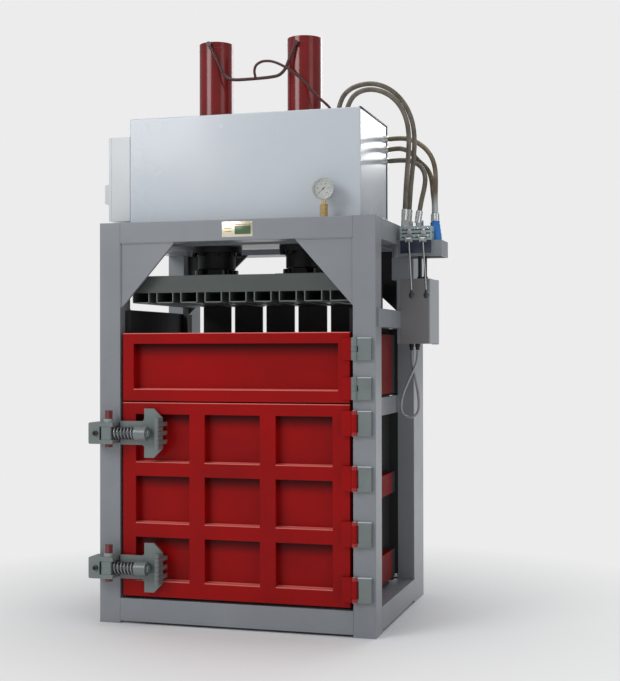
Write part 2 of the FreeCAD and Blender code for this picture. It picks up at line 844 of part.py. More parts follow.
rear_wall = new_body()
pad(rear_wall, "XZ_Plane", [rectangle((-chamber_half, chamber_half), (base_top, rear_wall_top))], -wall_back, -chamber_back)
slots = [(slot_pitch * n / 2, slot_width) for n in (-3, -1, 1, 3)]
slots += [(side * end_slot_place, end_slot_width) for side in (-1, 1)]
openings = [rectangle((x - width / 2, x + width / 2), (floor_top + slot_sill, rear_wall_top - slot_head)) for x, width in slots]
pocket(rear_wall, "XZ_Plane", openings, -wall_back, -chamber_back)
between_slots = (slot_pitch * 1.5 + slot_width / 2 + end_slot_place - end_slot_width / 2) / 2
stiffeners = []
for place in (0, slot_pitch, between_slots):
    for side in (-1, 1) if number(place) else (1,):
        stiffener = new_body()
        x = side * place
        corners = channel(wall_back, stiffener_depth, x - stiffener_width / 2, x + stiffener_width / 2, wall_thickness)
        corners = [(across, depth) for depth, across in corners]
        pad(stiffener, "XY_Plane", [corners], base_top, rear_wall_top)
        stiffeners.append(stiffener)
keep(fuse(rear_wall, *stiffeners), "rear_chamber_wall")


# ---------------------------------------------------------------- press cylinders and platen

barrels, glands, bolts, rods = [], [], [], []
for x in cylinder_places:
    centre = (x, press_y)
    barrels.append(cut(
        rod(centre, barrel_radius, (beam_bottom, barrel_top)),
        rod(centre, bore_radius, (beam_bottom, barrel_top - barrel_cap)),
    ))
    glands.append(cut(
        fuse(
            rod(centre, gland_radius, (gland_bottom, flange_bottom)),
            rod(centre, flange_radius, (flange_bottom, beam_bottom)),
        ),
        rod(centre, rod_radius + running_fit, (gland_bottom, beam_bottom)),
    ))
    for i in range(8):
        turn = math.radians(22.5 + 45 * i)
        place = (x + flange_bolt_circle * math.cos(turn), press_y + flange_bolt_circle * math.sin(turn))
        bolts.append(prism(place, flange_bolt_size, (flange_bottom - 15, flange_bottom)))
    rods.append(fuse(
        rod(centre, rod_flange_radius, (seat_top, seat_top + rod_flange_height)),
        rod(centre, rod_radius, (seat_top, piston_top)),
        rod(centre, bore_radius - running_fit, (piston_bottom, piston_top)),
    ))
keep(group(*barrels), "cylinder_barrels")
keep(group(*glands), "cylinder_glands")
keep(group(*bolts), "gland_bolts")

platen_x = (-platen_half, platen_half)
platen_y = (platen_front, platen_back)
between_webs = (platen_front + platen_wall, platen_back - platen_wall)
between_ends = (-platen_half + platen_wall, platen_half - platen_wall)
web_z = (platen_bottom + platen_wall, platen_top)
plates = [
    block(platen_x, platen_y, (platen_bottom, platen_bottom + platen_wall)),
    block(platen_x, (platen_front, between_webs[0]), web_z),
    block(platen_x, (between_webs[1], platen_back), web_z),
    block((-platen_half, between_ends[0]), between_webs, web_z),
    block((between_ends[1], platen_half), between_webs, web_z),
]
for side in (-1, 1):
    girder = press_y + side * girder_spacing / 2
    plates.append(block(between_ends, (girder - platen_wall / 2, girder + platen_wall / 2), web_z))
for x in cylinder_places:
    seat_x, seat_y = (x - seat_reach, x + seat_reach), (press_y - seat_reach, press_y + seat_reach)
    plates.append(block(seat_x, seat_y, (platen_top, seat_top)))
keep(group(*plates), "platen")

channels = new_body()
channel_left = -platen_half + channel_edge
corners = channel(platen_bottom, -channel_height, channel_left, channel_left + channel_width, channel_wall)
pad(channels, "XZ_Plane", [[(across, level) for level, across in corners]], -platen_back, -platen_front)
channel_bottom = platen_bottom - channel_height
row = channels.newObject("PartDesign::LinearPattern", "Row")
row.Originals = [channels.Tip]
row.Direction = (channels.Origin.OriginFeatures[0], [""])
bind(row, "Length", 2 * platen_half - channel_width - 2 * channel_edge)
row.Occurrences = channel_count
channels.Tip = row
round_edges(channels, channel_radius, lambda edge: (
    runs_along("y")(edge) and abs(edge.BoundBox.Center.z - number(channel_bottom)) < 0.01
))
keep(channels, "platen_channels")
keep(group(*rods), "piston_rods")


# ---------------------------------------------------------------- doors

def recessed_door(z, panels):
    """A flat door whose front is pocketed down to a skin."""
    body = new_body()
    pad(body, "XZ_Plane", [rectangle((-door_half, door_half), z)], -door_back, -front)
    pocket(body, "XZ_Plane", panels, door_skin - door_back, -front)
    round_edges(body, door_radius, lambda edge: (
        abs(edge.BoundBox.YMin - number(front)) < 0.01 and abs(edge.BoundBox.YMax - number(front)) < 0.01
    ))
    return body


def hinge_leaf(level, height, tongue_height, thickness):
    """The door's half of a hinge: a leaf that reaches to the middle knuckle."""
    leaf_y = (front - thickness, front)
    leaf_left = hinge_x - hinge_radius - hinge_play - hinge_leaf_width
    tongue = (level - tongue_height / 2, level + tongue_height / 2)
    leaf = fuse(
        block((leaf_left, leaf_left + hinge_leaf_width), leaf_y, (level - height / 2, level + height / 2)),
        block((leaf_left, hinge_x), leaf_y, tongue),
        rod((hinge_x, hinge_y), hinge_radius, tongue),
    )
    return cut(leaf, rod((hinge_x, hinge_y), hinge_pin_radius + running_fit, tongue))


panel_width = (2 * door_half - latch_stile - lower_stile - 2 * panel_rib) / 3
columns = [
    (-door_half + latch_stile + i * (panel_width + panel_rib),
     -door_half + latch_stile + i * (panel_width + panel_rib) + panel_width)
    for i in range(3)
]
panel_rows = [(row_one_bottom, row_one_top), (row_two_bottom, row_two_top), (row_three_bottom, row_three_top)]
lower_panels = [rectangle(x, z) for z in panel_rows for x in columns]
lower_slab = recessed_door((lower_door_bottom, lower_door_top), lower_panels)
lower_leaves = [hinge_leaf(level, hinge_height, hinge_tongue, hinge_leaf_thickness) for level in lower_hinges]
keep(fuse(lower_slab, *lower_leaves), "lower_door")

upper_panel = rectangle(
    (-door_half + upper_stile, door_half - upper_stile),
    (upper_door_bottom + upper_rail_low, upper_door_top - upper_rail_high),
)
upper_slab = recessed_door((upper_door_bottom, upper_door_top), [upper_panel])
upper_leaves = [
    hinge_leaf(level, upper_hinge_height, upper_hinge_tongue, upper_leaf_thickness) for level in upper_hinges
]
keep(fuse(upper_slab, *upper_leaves), "upper_door")

plates = []
plate_left = hinge_x + hinge_radius + hinge_plate_gap
hinges = [(level, hinge_height, hinge_tongue) for level in lower_hinges]
hinges += [(level, upper_hinge_height, upper_hinge_tongue) for level in upper_hinges]
for level, height, tongue_height in hinges:
    low, high = level - height / 2, level + height / 2
    plate_y = (front - hinge_plate_thickness, front)
    parts = [
        block((plate_left, plate_left + hinge_plate_width), plate_y, (low, high)),
        rod((hinge_x, hinge_y), hinge_pin_radius, (low, high)),
    ]
    tongue_end = tongue_height / 2 + hinge_play
    for knuckle in ((low, level - tongue_end), (level + tongue_end, high)):
        parts.append(rod((hinge_x, hinge_y), hinge_radius, knuckle))
        parts.append(block((hinge_x, plate_left + 1), (front - hinge_plate_thickness, front - hinge_standoff), knuckle))
    plates.append(fuse(*parts))
keep(group(*plates), "hinge_plates")


# ---------------------------------------------------------------- spring latches

def halfway(start, corner, end):
    """The middle of the arc that touches both legs of a corner with equal legs."""
    chord = (start + end) / 2
    leg = (corner - start).Length
    turn = (corner - start).getAngle(end - corner)
    radius = leg / math.tan(turn / 2)
    sagitta = radius * (1 / math.cos(turn / 2) - 1)
    return corner + (chord - corner).normalize() * sagitta


def wound_wire(start, axis_length, turns, mean, wire):
    """One unbroken wire wound about X: two arcs for every quarter turn, and a round section along them."""
    pitch = axis_length / turns

    def place(turn):
        angle = 2 * math.pi * turn
        return start + Vector(pitch * turn, mean * math.cos(angle), mean * math.sin(angle))

    def heading(turn):
        angle = 2 * math.pi * turn
        way = Vector(pitch, -2 * math.pi * mean * math.sin(angle), 2 * math.pi * mean * math.cos(angle))
        return way.normalize()

    edges = []
    for quarter in range(4 * turns):
        ends = [place(quarter / 4), place((quarter + 1) / 4)]
        ways = [heading(quarter / 4), heading((quarter + 1) / 4)]
        gap, both_ways = ends[1] - ends[0], ways[0] + ways[1]
        square = both_ways.dot(both_ways) - 4
        half_b = gap.dot(both_ways)
        leg = (half_b - math.sqrt(half_b ** 2 - square * gap.dot(gap))) / square
        corners = [ends[0] + ways[0] * leg, ends[1] - ways[1] * leg]
        middle = (corners[0] + corners[1]) / 2
        for first, corner, last in ((ends[0], corners[0], middle), (middle, corners[1], ends[1])):
            edges.append(Part.Arc(first, halfway(first, corner, last), last).toShape())
    path = Part.Wire(edges)
    ring = Part.Wire([Part.Circle(place(0), heading(0), wire).toShape()])
    points = [place(i / 48) for i in range(48 * turns + 1)]
    nearest = min(
        (points[i] - points[j]).Length for i in range(len(points)) for j in range(i + 30, min(i + 80, len(points)))
    )
    print(f"spring of {turns} turns: least gap to itself {nearest - 2 * wire:.2f} mm")
    return path.makePipeShell([ring], True, False)


def solid_feature(shape):
    feature = doc.addObject("Part::Feature", "Solid")
    feature.Shape = shape
    return feature


bolt_x = -half + latch_bolt_place
latch_y = front - latch_lead
fork_left = -half - fork_overhang
fork_front = front - fork_depth
hook_right = bolt_x + latch_bolt_radius + hook_clearance + hook_leg
hook_left = bolt_x - latch_bolt_radius - hook_clearance - hook_leg
spring_left, sleeve_left = hook_right, hook_right + spring_length
sleeve_right = sleeve_left + sleeve_length
head_right = -door_half + latch_head_place
head_left = head_right - latch_head_width
lug_pin_x = head_right - lug_width / 2
plate_back = front - latch_plate_stand
plate_front = plate_back - latch_plate_thickness
lug_pitch = lug_height + lug_gap
forks, latch_bolts, brackets = [], [], []

for label, level in latch_levels.items():
    fork_z = (level - fork_slot / 2 - fork_ear, level + fork_slot / 2 + fork_ear)
    slot_z = (level - fork_slot / 2, level + fork_slot / 2)
    fork = new_body()
    pad(fork, "XZ_Plane", [rectangle((fork_left, fork_left + fork_width), fork_z)], -front, -fork_front)
    round_edges(fork, fork_radius, both(runs_along("y"), outermost((fork_left, fork_left + fork_width), (front, (
        front + fork_front) / 2))))
    slot = rectangle((fork_left + fork_web, fork_left + fork_width), slot_z)
    pocket(fork, "XZ_Plane", [slot], -front, -fork_front)
    pocket(fork, "XY_Plane", [(bolt_x, latch_y, latch_bolt_radius + running_fit)], fork_z[0], fork_z[1])
    forks.append(fork)

    bolt_at = (bolt_x, latch_y)
    latch_bolts.append(rod(bolt_at, latch_bolt_radius, (fork_z[0], fork_z[1])))
    latch_bolts.append(prism(bolt_at, bolt_nut_flats, (fork_z[0] - bolt_nut_height, fork_z[0])))
    latch_bolts.append(fuse(
        rod(bolt_at, bolt_collar_radius, (fork_z[1], fork_z[1] + bolt_collar_height)),
        prism(bolt_at, bolt_head_flats, (fork_z[1] + bolt_collar_height, fork_z[1] + bolt_head_height)),
    ))
    socket_at = (fork_left + socket_place, level)
    latch_bolts.append(cut(
        rod(socket_at, socket_radius, (fork_front - socket_height, fork_front), "y"),
        rod(socket_at, socket_radius / 2, (fork_front - socket_height, fork_front - socket_height / 2), "y"),
    ))

    lugs = [level + lug_pitch * n - lug_height / 2 for n in (-3, -2, -1, 0, 1, 2, 3)]
    span = (lugs[0], lugs[-1] + lug_height)
    lug_x = (lug_pin_x - lug_width / 2, lug_pin_x + lug_width / 2)
    recess_floor = door_back - door_skin
    bracket = [
        block((lug_x[0] - bracket_base_margin, lug_x[1] + bracket_base_edge),
              (recess_floor - bracket_base_thickness, recess_floor), (lugs[1], lugs[-2] + lug_height)),
        rod((lug_pin_x, latch_y), lug_pin_radius, (span[0] - lug_gap, span[1] + lug_gap)),
    ]
    for low in lugs[1::2]:
        bracket.append(block(lug_x, (latch_y, recess_floor), (low, low + lug_height)))
        bracket.append(rod((lug_pin_x, latch_y), lug_width / 2, (low, low + lug_height)))
    brackets.append(fuse(*bracket))

    tee = new_body()
    bar_left = sleeve_left - bar_overhang
    corners = [
        (bar_left, level - latch_bar_half), (head_left, level - latch_bar_half),
        (head_left, level - latch_head_half), (head_right - latch_chamfer, level - latch_head_half),
        (head_right, level - latch_head_half + latch_chamfer), (head_right, level + latch_head_half - latch_chamfer),
        (head_right - latch_chamfer, level + latch_head_half), (head_left, level + latch_head_half),
        (head_left, level + latch_bar_half), (bar_left, level + latch_bar_half),
    ]
    pad(tee, "XZ_Plane", [corners], -plate_back, -plate_front)
    round_edges(tee, latch_fillet, lambda edge: (
        runs_along("y")(edge)
        and abs(edge.BoundBox.Center.x - number(head_left)) < 0.01
        and abs(abs(edge.BoundBox.Center.z - number(level)) - number(latch_bar_half)) < 0.01
    ))
    notches = [
        rectangle((lug_x[0] - lug_notch, head_right), (low - lug_gap, low + lug_height + lug_gap)) for low in lugs[1::2]
    ]
    pocket(tee, "XZ_Plane", notches, -plate_back, -plate_front)
    arm = [tee]
    for low in lugs[0::2]:
        arm.append(block(lug_x, (latch_y, plate_front), (low, low + lug_height)))
        arm.append(rod((lug_pin_x, latch_y), lug_width / 2, (low, low + lug_height)))
    arm.append(rod((latch_y, level), sleeve_radius, (sleeve_left, sleeve_right), "x"))
    arm.append(block((sleeve_left, sleeve_right), (latch_y, plate_front), (level - saddle_half, level + saddle_half)))
    arm = cut(
        fuse(*arm),
        rod((lug_pin_x, latch_y), lug_pin_radius + running_fit, span),
        rod((latch_y, level), draw_rod_radius + draw_fit, (sleeve_left, sleeve_right), "x"),
    )
    keep(arm, f"{label}_latch_plate")

    hook = new_body()
    web_front = latch_y - latch_bolt_radius - hook_play - hook_web
    leg_end = latch_y + hook_reach
    jaw = [
        (hook_left, web_front), (hook_right, web_front), (hook_right, leg_end), (hook_right - hook_leg, leg_end),
        (hook_right - hook_leg, web_front + hook_web), (hook_left + hook_leg, web_front + hook_web),
        (hook_left + hook_leg, leg_end), (hook_left, leg_end),
    ]
    pad(hook, "XY_Plane", [jaw], level - hook_height / 2, level + hook_height / 2)
    round_edges(hook, hook_radius, both(runs_along("z"), lambda edge: (
        abs(edge.BoundBox.Center.y - number(web_front)) < 0.01
    )))
    rod_end = sleeve_right + draw_nut_length + draw_tail
    keep(fuse(
        hook,
        rod((latch_y, level), draw_rod_radius, (hook_right - hook_leg, rod_end), "x"),
        rod((latch_y, level), draw_nut_radius, (sleeve_right + seat_clearance,
                                               sleeve_right + seat_clearance + draw_nut_length), "x"),
    ), f"{label}_latch_rod")

    reach = number(spring_wire) + number(seat_clearance)
    start = Vector(number(spring_left) + reach, number(latch_y), number(level))
    coil_length = number(spring_length) - 2 * reach
    coil = wound_wire(start, coil_length, spring_turns, number(spring_mean), number(spring_wire))
    keep(solid_feature(coil), f"{label}_latch_spring")

keep(group(*forks), "latch_forks")
keep(group(*latch_bolts), "latch_bolts")
keep(group(*brackets), "latch_brackets")


# ---------------------------------------------------------------- cabinet and what stands in it

cabinet_x = (-cabinet_half, cabinet_half)
cabinet_y = (cabinet_front, cabinet_back)
holes = [rod((x, press_y), barrel_radius + barrel_clearance, (frame_height, cabinet_base)) for x in cylinder_places]
keep(cut(block(cabinet_x, cabinet_y, (frame_height, cabinet_base)), *holes), "cabinet_floor")

shell = new_body()
pad(shell, "XY_Plane", [rectangle(cabinet_x, cabinet_y)], cabinet_base, cabinet_top)
round_edges(shell, cabinet_radius, lambda edge: (
    edge.BoundBox.YMin < number(cabinet_back) - 1 and edge.BoundBox.ZMax > number(cabinet_base) + 1
))
hollow = rectangle((-cabinet_half + cabinet_sheet, cabinet_half - cabinet_sheet), (cabinet_front + cabinet_sheet, cabinet_back))
pocket(shell, "XY_Plane", [hollow], cabinet_base, cabinet_top - cabinet_sheet)
barrel_holes = [(x, press_y, barrel_radius + barrel_clearance) for x in cylinder_places]
pocket(shell, "XY_Plane", barrel_holes, cabinet_top - cabinet_sheet, cabinet_top)
keep(shell, "cabinet_shell")

cover = new_body()
cover_x = (-cabinet_half + cabinet_sheet, cabinet_half - cabinet_sheet)
cover_z = (cabinet_base, cabinet_top - cabinet_sheet)
pad(cover, "XZ_Plane", [rectangle(cover_x, cover_z)], -cabinet_back, cabinet_sheet - cabinet_back)
louvres = []
for side in (-1, 1):
    middle = side * cabinet_half / 2
    for i in range(louvre_count):
        low = cover_z[1] - louvre_drop - i * louvre_pitch
        louvres.append(rectangle((middle - louvre_width / 2, middle + louvre_width / 2), (low, low + louvre_height)))
pocket(cover, "XZ_Plane", louvres, -cabinet_back, cabinet_sheet - cabinet_back)
keep(cover, "cabinet_rear_cover")

tank_x = (-cabinet_half + cabinet_sheet + tank_gap, cylinder_places[0] - barrel_radius - barrel_room)
tank_y = (cabinet_front + cabinet_sheet + tank_gap, cabinet_back - cabinet_sheet - tank_gap)
tank_top = cabinet_base + tank_height
tank = cut(
    block(tank_x, tank_y, (cabinet_base, tank_top)),
    block((tank_x[0] + tank_wall, tank_x[1] - tank_wall), (tank_y[0] + tank_wall, tank_y[1] - tank_wall),
          (cabinet_base + tank_wall, tank_top)),
)
keep(group(tank, block(tank_x, tank_y, (tank_top, tank_top + tank_wall))), "oil_tank")

motor_at = (cylinder_places[1] + barrel_radius + motor_room + motor_radius, press_y)
keep(fuse(
    rod(motor_at, pump_radius, (cabinet_base, cabinet_base + pump_height)),
    rod(motor_at, motor_radius, (cabinet_base + pump_height, cabinet_base + pump_height + motor_height)),
), "pump_motor")


# ---------------------------------------------------------------- boxes with lids

def pivot_ears(x, y, z, axis):
    """Two ears of a box, over and under its lid, with the pins that the lid turns on."""
    parts = []
    for edge, up in ((z[1], 1), (z[0], -1)):
        ear_z = (edge, edge + ear_thickness) if up > 0 else (edge - ear_thickness, edge)
        pin_z = (edge - lid_pivot_depth, edge) if up > 0 else (edge, edge + lid_pivot_depth)
        parts += [block(x, y, ear_z), rod(axis, lid_pivot_radius, pin_z), rod(axis, lid_knuckle, ear_z)]
    return parts


def lid_of(x, y, z, open_x, sheet, axis):
    """A shallow tray with a knuckle along its hinged edge; open_x gives its hollow."""
    low, high = z[0] + lid_play, z[1] - lid_play
    tray = cut(
        block(x, y, (low, high)),
        block(open_x, (y[0] + sheet, y[1] - sheet), (low + sheet, high - sheet)),
    )
    whole = fuse(tray, rod(axis, lid_knuckle, (low, high)))
    return cut(whole, rod(axis, lid_pivot_radius + running_fit, (low, high)))


# Control box on the left side.
side_back = cabinet_front + side_box_depth
side_x = (-cabinet_half - side_box_width, -cabinet_half)
side_y = (cabinet_front, side_back)
side_z = (cabinet_base + side_box_rise, cabinet_base + side_box_rise + side_box_height)
side_axis = (side_x[0] - lid_knuckle - lid_pivot_gap, side_back)
ear_x = (side_axis[0], side_x[0] + ear_length)
keep(fuse(
    cut(
        block(side_x, side_y, side_z),
        block((side_x[0], side_x[1] - side_box_sheet), (side_y[0] + side_box_sheet, side_y[1] - side_box_sheet),
              (side_z[0] + side_box_sheet, side_z[1] - side_box_sheet)),
    ),
    *pivot_ears(ear_x, (side_back - ear_length, side_back), side_z, side_axis),
), "side_box")

lid_outer = side_x[0] - side_lid_depth
lid_x = (lid_outer, side_x[0] - lid_gap)
lid = lid_of(lid_x, side_y, side_z, (lid_outer + side_box_sheet, lid_x[1]), side_box_sheet, side_axis)
lock_at = (cabinet_front + lock_inset, side_z[0] + lock_rise)
keep(cut(lid, rod(lock_at, lock_shaft + running_fit, (lid_outer, lid_outer + side_box_sheet), "x")), "side_box_door")

lock_out = lid_outer - seat_clearance - lock_length
keep(fuse(
    rod(lock_at, lock_shaft, (lock_out, lid_outer + side_box_sheet + seat_clearance + 3), "x"),
    rod(lock_at, lock_shaft + 3,
        (lid_outer + side_box_sheet + seat_clearance, lid_outer + side_box_sheet + seat_clearance + 3), "x"),
    rod(lock_at, lock_radius, (lock_out, lid_outer - seat_clearance), "x"),
    block((lock_out - 5, lock_out), (lock_at[0] - 3, lock_at[0] + 3), (lock_at[1] - lock_radius, lock_at[1] + lock_radius)),
), "side_box_lock")

cowl = new_body()
cowl_middle = side_z[0] + cowl_rise
cowl_edge = [
    (lid_outer, cowl_middle - cowl_half_height), (lid_outer, cowl_middle + cowl_half_height),
    (lid_outer - cowl_reach, cowl_middle + cowl_front_half_height),
    (lid_outer - cowl_reach, cowl_middle - cowl_front_half_height),
]
cowl_y = (cabinet_front + cowl_inset, cabinet_front + cowl_inset + cowl_depth)
pad(cowl, "XZ_Plane", [cowl_edge], -cowl_y[1], -cowl_y[0])
keep(cowl, "side_box_cowl")


# ---------------------------------------------------------------- pressure gauge

gauge_y = front + gauge_inset
gauge_level = frame_height + gauge_height
gauge_at = (gauge_x, gauge_level)
dial_y = gauge_y + gauge_rim
needle_y = (dial_y - seat_clearance - 1, dial_y - seat_clearance)
keep(fuse(
    cut(
        rod(gauge_at, gauge_radius, (gauge_y, gauge_y + gauge_depth), "y"),
        rod(gauge_at, gauge_dial_radius, (gauge_y, dial_y), "y"),
    ),
    rod(gauge_at, 1.5, (dial_y - 3, dial_y), "y"),
), "gauge_case")
glass_y = (gauge_y + 1, gauge_y + 1 + gauge_glass_thickness)
keep(group(rod(gauge_at, gauge_dial_radius - 0.1, glass_y, "y")), "gauge_glass")

needle = new_body()
across, along = math.cos(needle_angle), math.sin(needle_angle)
half_width = needle_width / 2
needle_edge = [
    (gauge_x + along * half_width - across * needle_tail, gauge_level - across * half_width - along * needle_tail),
    (gauge_x + across * needle_length, gauge_level + along * needle_length),
    (gauge_x - along * half_width - across * needle_tail, gauge_level + across * half_width - along * needle_tail),
]
pad(needle, "XZ_Plane", [needle_edge], -needle_y[1], -needle_y[0])
hub = rod(gauge_at, 4, needle_y, "y")
keep(cut(fuse(needle, hub), rod(gauge_at, 1.5 + running_fit, needle_y, "y")), "gauge_needle")

stem_at = (gauge_x, gauge_y + gauge_depth / 2)
stem_top = frame_height + stem_hex_height
keep(cut(
    fuse(
        prism(stem_at, stem_hex, (frame_height, stem_top)),
        rod(stem_at, stem_neck_radius, (stem_top, gauge_level - gauge_radius / 2)),
    ),
    rod(gauge_at, gauge_radius, (gauge_y - 1, gauge_y + gauge_depth + 1), "y"),
), "gauge_stem")


# ---------------------------------------------------------------- rigid oil pipes

def pipe_along(points, radius, bend=None):
    """A round tube on straight runs and tangent arcs; without a bend radius each arc is as large as fits."""
    edges, here, radii = [], points[0], []
    for before, corner, after in zip(points, points[1:], points[2:]):
        turn = (corner - before).getAngle(after - corner)
        leg = 0.45 * min((corner - before).Length, (after - corner).Length)
        if bend:
            leg = bend * math.tan(turn / 2)
        radii.append(leg / math.tan(turn / 2))
        entry = corner + (before - corner).normalize() * leg
        leave = corner + (after - corner).normalize() * leg
        edges.append(Part.LineSegment(here, entry).toShape())
        edges.append(Part.Arc(entry, halfway(entry, corner, leave), leave).toShape())
        here = leave
    edges.append(Part.LineSegment(here, points[-1]).toShape())
    path = Part.Wire(edges)
    ring = Part.Wire([Part.Circle(points[0], points[1] - points[0], radius).toShape()])
    tube_shape = path.makePipeShell([ring], True, False)
    expected = math.pi * radius ** 2 * path.Length
    if abs(tube_shape.Volume / expected - 1) > 0.01:
        raise RuntimeError("a swept tube lost its volume")
    return tube_shape, path.Length, radii


# Points of the pipes' centre lines, from the machine's middle, the line of the barrels' fronts and their tops.
link_run = [
    (-238, -11, -15), (-216, -11, -56), (-190, -11, -109), (-168, -11, -159), (-140, -11, -195), (-95, -11, -203),
    (-11, -11, -203), (75, -11, -201), (130, -11, -195), (162, -11, -167), (180, -11, -123), (200, -11, -77),
    (216, -11, -39),
]
loop_run = [
    (9, -14, -201), (4, -22, -166), (14, -26, -138), (45, -26, -122), (88, -26, -122), (130, -26, -137),
    (181, -26, -166), (225, -26, -199), (270, -26, -241), (305, -26, -286), (345, -26, -325), (380, -26, -356),
]
roof_run = [(398, -26, 29), (398, -26, 0)]


def from_corner(corner, offsets):
    return [tuple(number(start) + step for start, step in zip(corner, offset)) for offset in offsets]


def run_pipe(points, radius):
    return solid_feature(pipe_along([Vector(*point) for point in points], number(radius))[0])


barrel_front = press_y - barrel_radius
link_points = from_corner((0, barrel_front, barrel_top), link_run)
roof_points = from_corner((0, barrel_front, cabinet_top), roof_run)
pipes = [
    run_pipe(link_points, link_radius),
    run_pipe(from_corner((0, barrel_front, barrel_top), loop_run) + roof_points, loop_radius),
]
collars = [
    rod((x, z), port_radius, (barrel_front - port_lead, barrel_front + port_depth), "y")
    for x, y, z in (link_points[0], link_points[-1])
]
x, y, z = roof_points[-1]
collars.append(rod((x, y), roof_port_radius, (cabinet_top, cabinet_top + roof_port_height)))
outer_barrels = [rod((x, press_y), barrel_radius, (beam_bottom, barrel_top)) for x in cylinder_places]
keep(cut(fuse(*pipes, *collars), *outer_barrels), "oil_pipes")


# ---------------------------------------------------------------- valve group on its tray

tray_x, tray_y, tray_z = (tray_left, tray_right), (tray_front_y, tray_back_y), (tray_bottom, tray_top)
keep(cut(
    block(tray_x, tray_y, tray_z),
    block((tray_left + tray_sheet, tray_right - tray_sheet), (tray_front_y + tray_sheet, tray_back_y - tray_sheet),
          (tray_bottom, tray_top - tray_sheet)),
), "valve_shelf")

valve_x = (tray_left + valve_left, tray_left + valve_left + valve_width)
valve_front = tray_front_y - valve_lead
valve_back = valve_front + valve_depth
valve_top = tray_top + valve_height
pivot_y = valve_front - lever_lead
lever_x = (valve_x[0] + left_lever_place, valve_x[0] + right_lever_place)
parts = [
    cut(
        block(valve_x, (valve_front, valve_back), (tray_top, valve_top)),
        block((valve_x[1] - valve_notch_x, valve_x[1]), (valve_back - valve_notch_y, valve_back), (tray_top, valve_top)),
    ),
    block(valve_x, (valve_front, tray_front_y), (tray_top - valve_skirt, tray_top)),
]
for x in lever_x:
    ear_gap = lever_boss_width / 2 + lever_play
    for near in (x - ear_gap - lever_ear, x + ear_gap):
        parts.append(block((near, near + lever_ear), (pivot_y - lever_boss_radius, valve_front),
                           (tray_top - lever_boss_radius, tray_top + lever_boss_radius)))
    parts.append(rod((pivot_y, tray_top), lever_pin_radius, (x - ear_gap, x + ear_gap), "x"))
keep(fuse(*parts), "valve_block")


def leaning_rod(start, way, radius, length):
    """A cylinder from a point along any direction."""
    bar = rod((start[0], start[1]), radius, (start[2], start[2] + length))
    bar.Placement = Placement(Vector(), Rotation(Vector(0, 0, 1), way))
    return bar


for label, x, lean in (("left_lever", lever_x[0], left_lean), ("right_lever", lever_x[1], right_lean)):
    way = Vector(math.sin(lean), 0, -math.cos(lean))
    knob = doc.addObject("Part::Sphere", "Knob")
    bind(knob, "Radius", lever_knob_radius)
    move(knob, x + lever_length * math.sin(lean), pivot_y, tray_top - lever_length * math.cos(lean))
    boss = (x - lever_boss_width / 2, x + lever_boss_width / 2)
    keep(cut(
        fuse(
            rod((pivot_y, tray_top), lever_boss_radius, boss, "x"),
            leaning_rod((x, pivot_y, tray_top), way, lever_radius, lever_length),
            knob,
        ),
        rod((pivot_y, tray_top), lever_pin_radius + running_fit, boss, "x"),
    ), label)


# ---------------------------------------------------------------- hoses and their fittings

# Points of each hose's centre line: its start from the cabinet's upper right front corner, its end from the valve's
# lower left front corner. The cable's are from the electric box's lower left front corner.
hose_runs = {
    "top_hose_outer": (
        [(-172, 239, 23), (-161, 246, 85), (-128, 264, 135), (-76, 290, 164), (-11, 320, 174),
         (51, 347, 155), (103, 371, 115), (143, 390, 57), (167, 405, -11), (175, 416, -85)],
        [(48, 107, 440), (38, 107, 350), (29, 106, 254), (23, 106, 160)],
    ),
    "top_hose_inner": (
        [(-110, 172, 21), (-96, 181, 69), (-64, 199, 108), (-16, 226, 127), (39, 255, 122),
         (90, 282, 95), (130, 308, 48), (154, 329, -15), (162, 342, -91)],
        [(35, 34, 430), (27, 36, 338), (20, 36, 246), (16, 36, 156)],
    ),
    "side_hose_upper": (
        [(16, 530, -72), (82, 525, -68), (147, 510, -85), (204, 490, -122), (248, 468, -172), (273, 446, -238)],
        [(155, 116, 292), (154, 106, 211), (158, 102, 136)],
    ),
    "side_hose_middle": (
        [(16, 530, -126), (60, 531, -119), (103, 532, -127), (141, 532, -151), (170, 530, -188), (212, 525, -224),
         (235, 514, -261), (247, 500, -310)],
        [(130, 173, 246), (139, 163, 190), (138, 160, 140)],
    ),
    "side_hose_lower": (
        [(16, 530, -184), (80, 522, -181), (146, 500, -193), (200, 468, -227), (226, 438, -281)],
        [(101, 100, 264), (89, 83, 204), (81, 76, 148)],
    ),
}
cable_run = [
    (64, 104, -32), (64, 104, -72), (48, 104, -118), (25, 104, -164), (4, 105, -210), (-14, 107, -254),
    (-23, 109, -300), (-22, 112, -338), (-6, 115, -360), (20, 119, -368), (46, 123, -360), (62, 127, -338),
    (65, 133, -298), (59, 140, -248), (49, 146, -198), (37, 150, -146), (24, 150, -86), (24, 150, -32),
]
box_top = tray_bottom - box_drop
box_bottom = box_top - box_height
bracket_left = half - bracket_inset
bracket_right = bracket_left + bracket_width


cabinet_corner = (cabinet_half, cabinet_front, cabinet_top)
valve_corner = (valve_x[0], valve_front, tray_top)
hose_points = {
    label: from_corner(cabinet_corner, first) + from_corner(valve_corner, last)
    for label, (first, last) in hose_runs.items()
}
cable_points = from_corner((bracket_right, front + box_front, box_bottom), cable_run)


def free_cord(label, points, radius):
    points = [Vector(*point) for point in points]
    shape, length, radii = pipe_along(points, number(radius))
    diameter = 2 * number(radius)
    turns = ", ".join(f"{r / diameter:.1f}" for r in radii)
    print(f"{label}: {length:.0f} mm long, arc radii in diameters {turns}")
    keep(solid_feature(shape), label)


for label, points in hose_points.items():
    free_cord(label, points, hose_radius)
free_cord("electric_box_cable", cable_points, cable_radius)


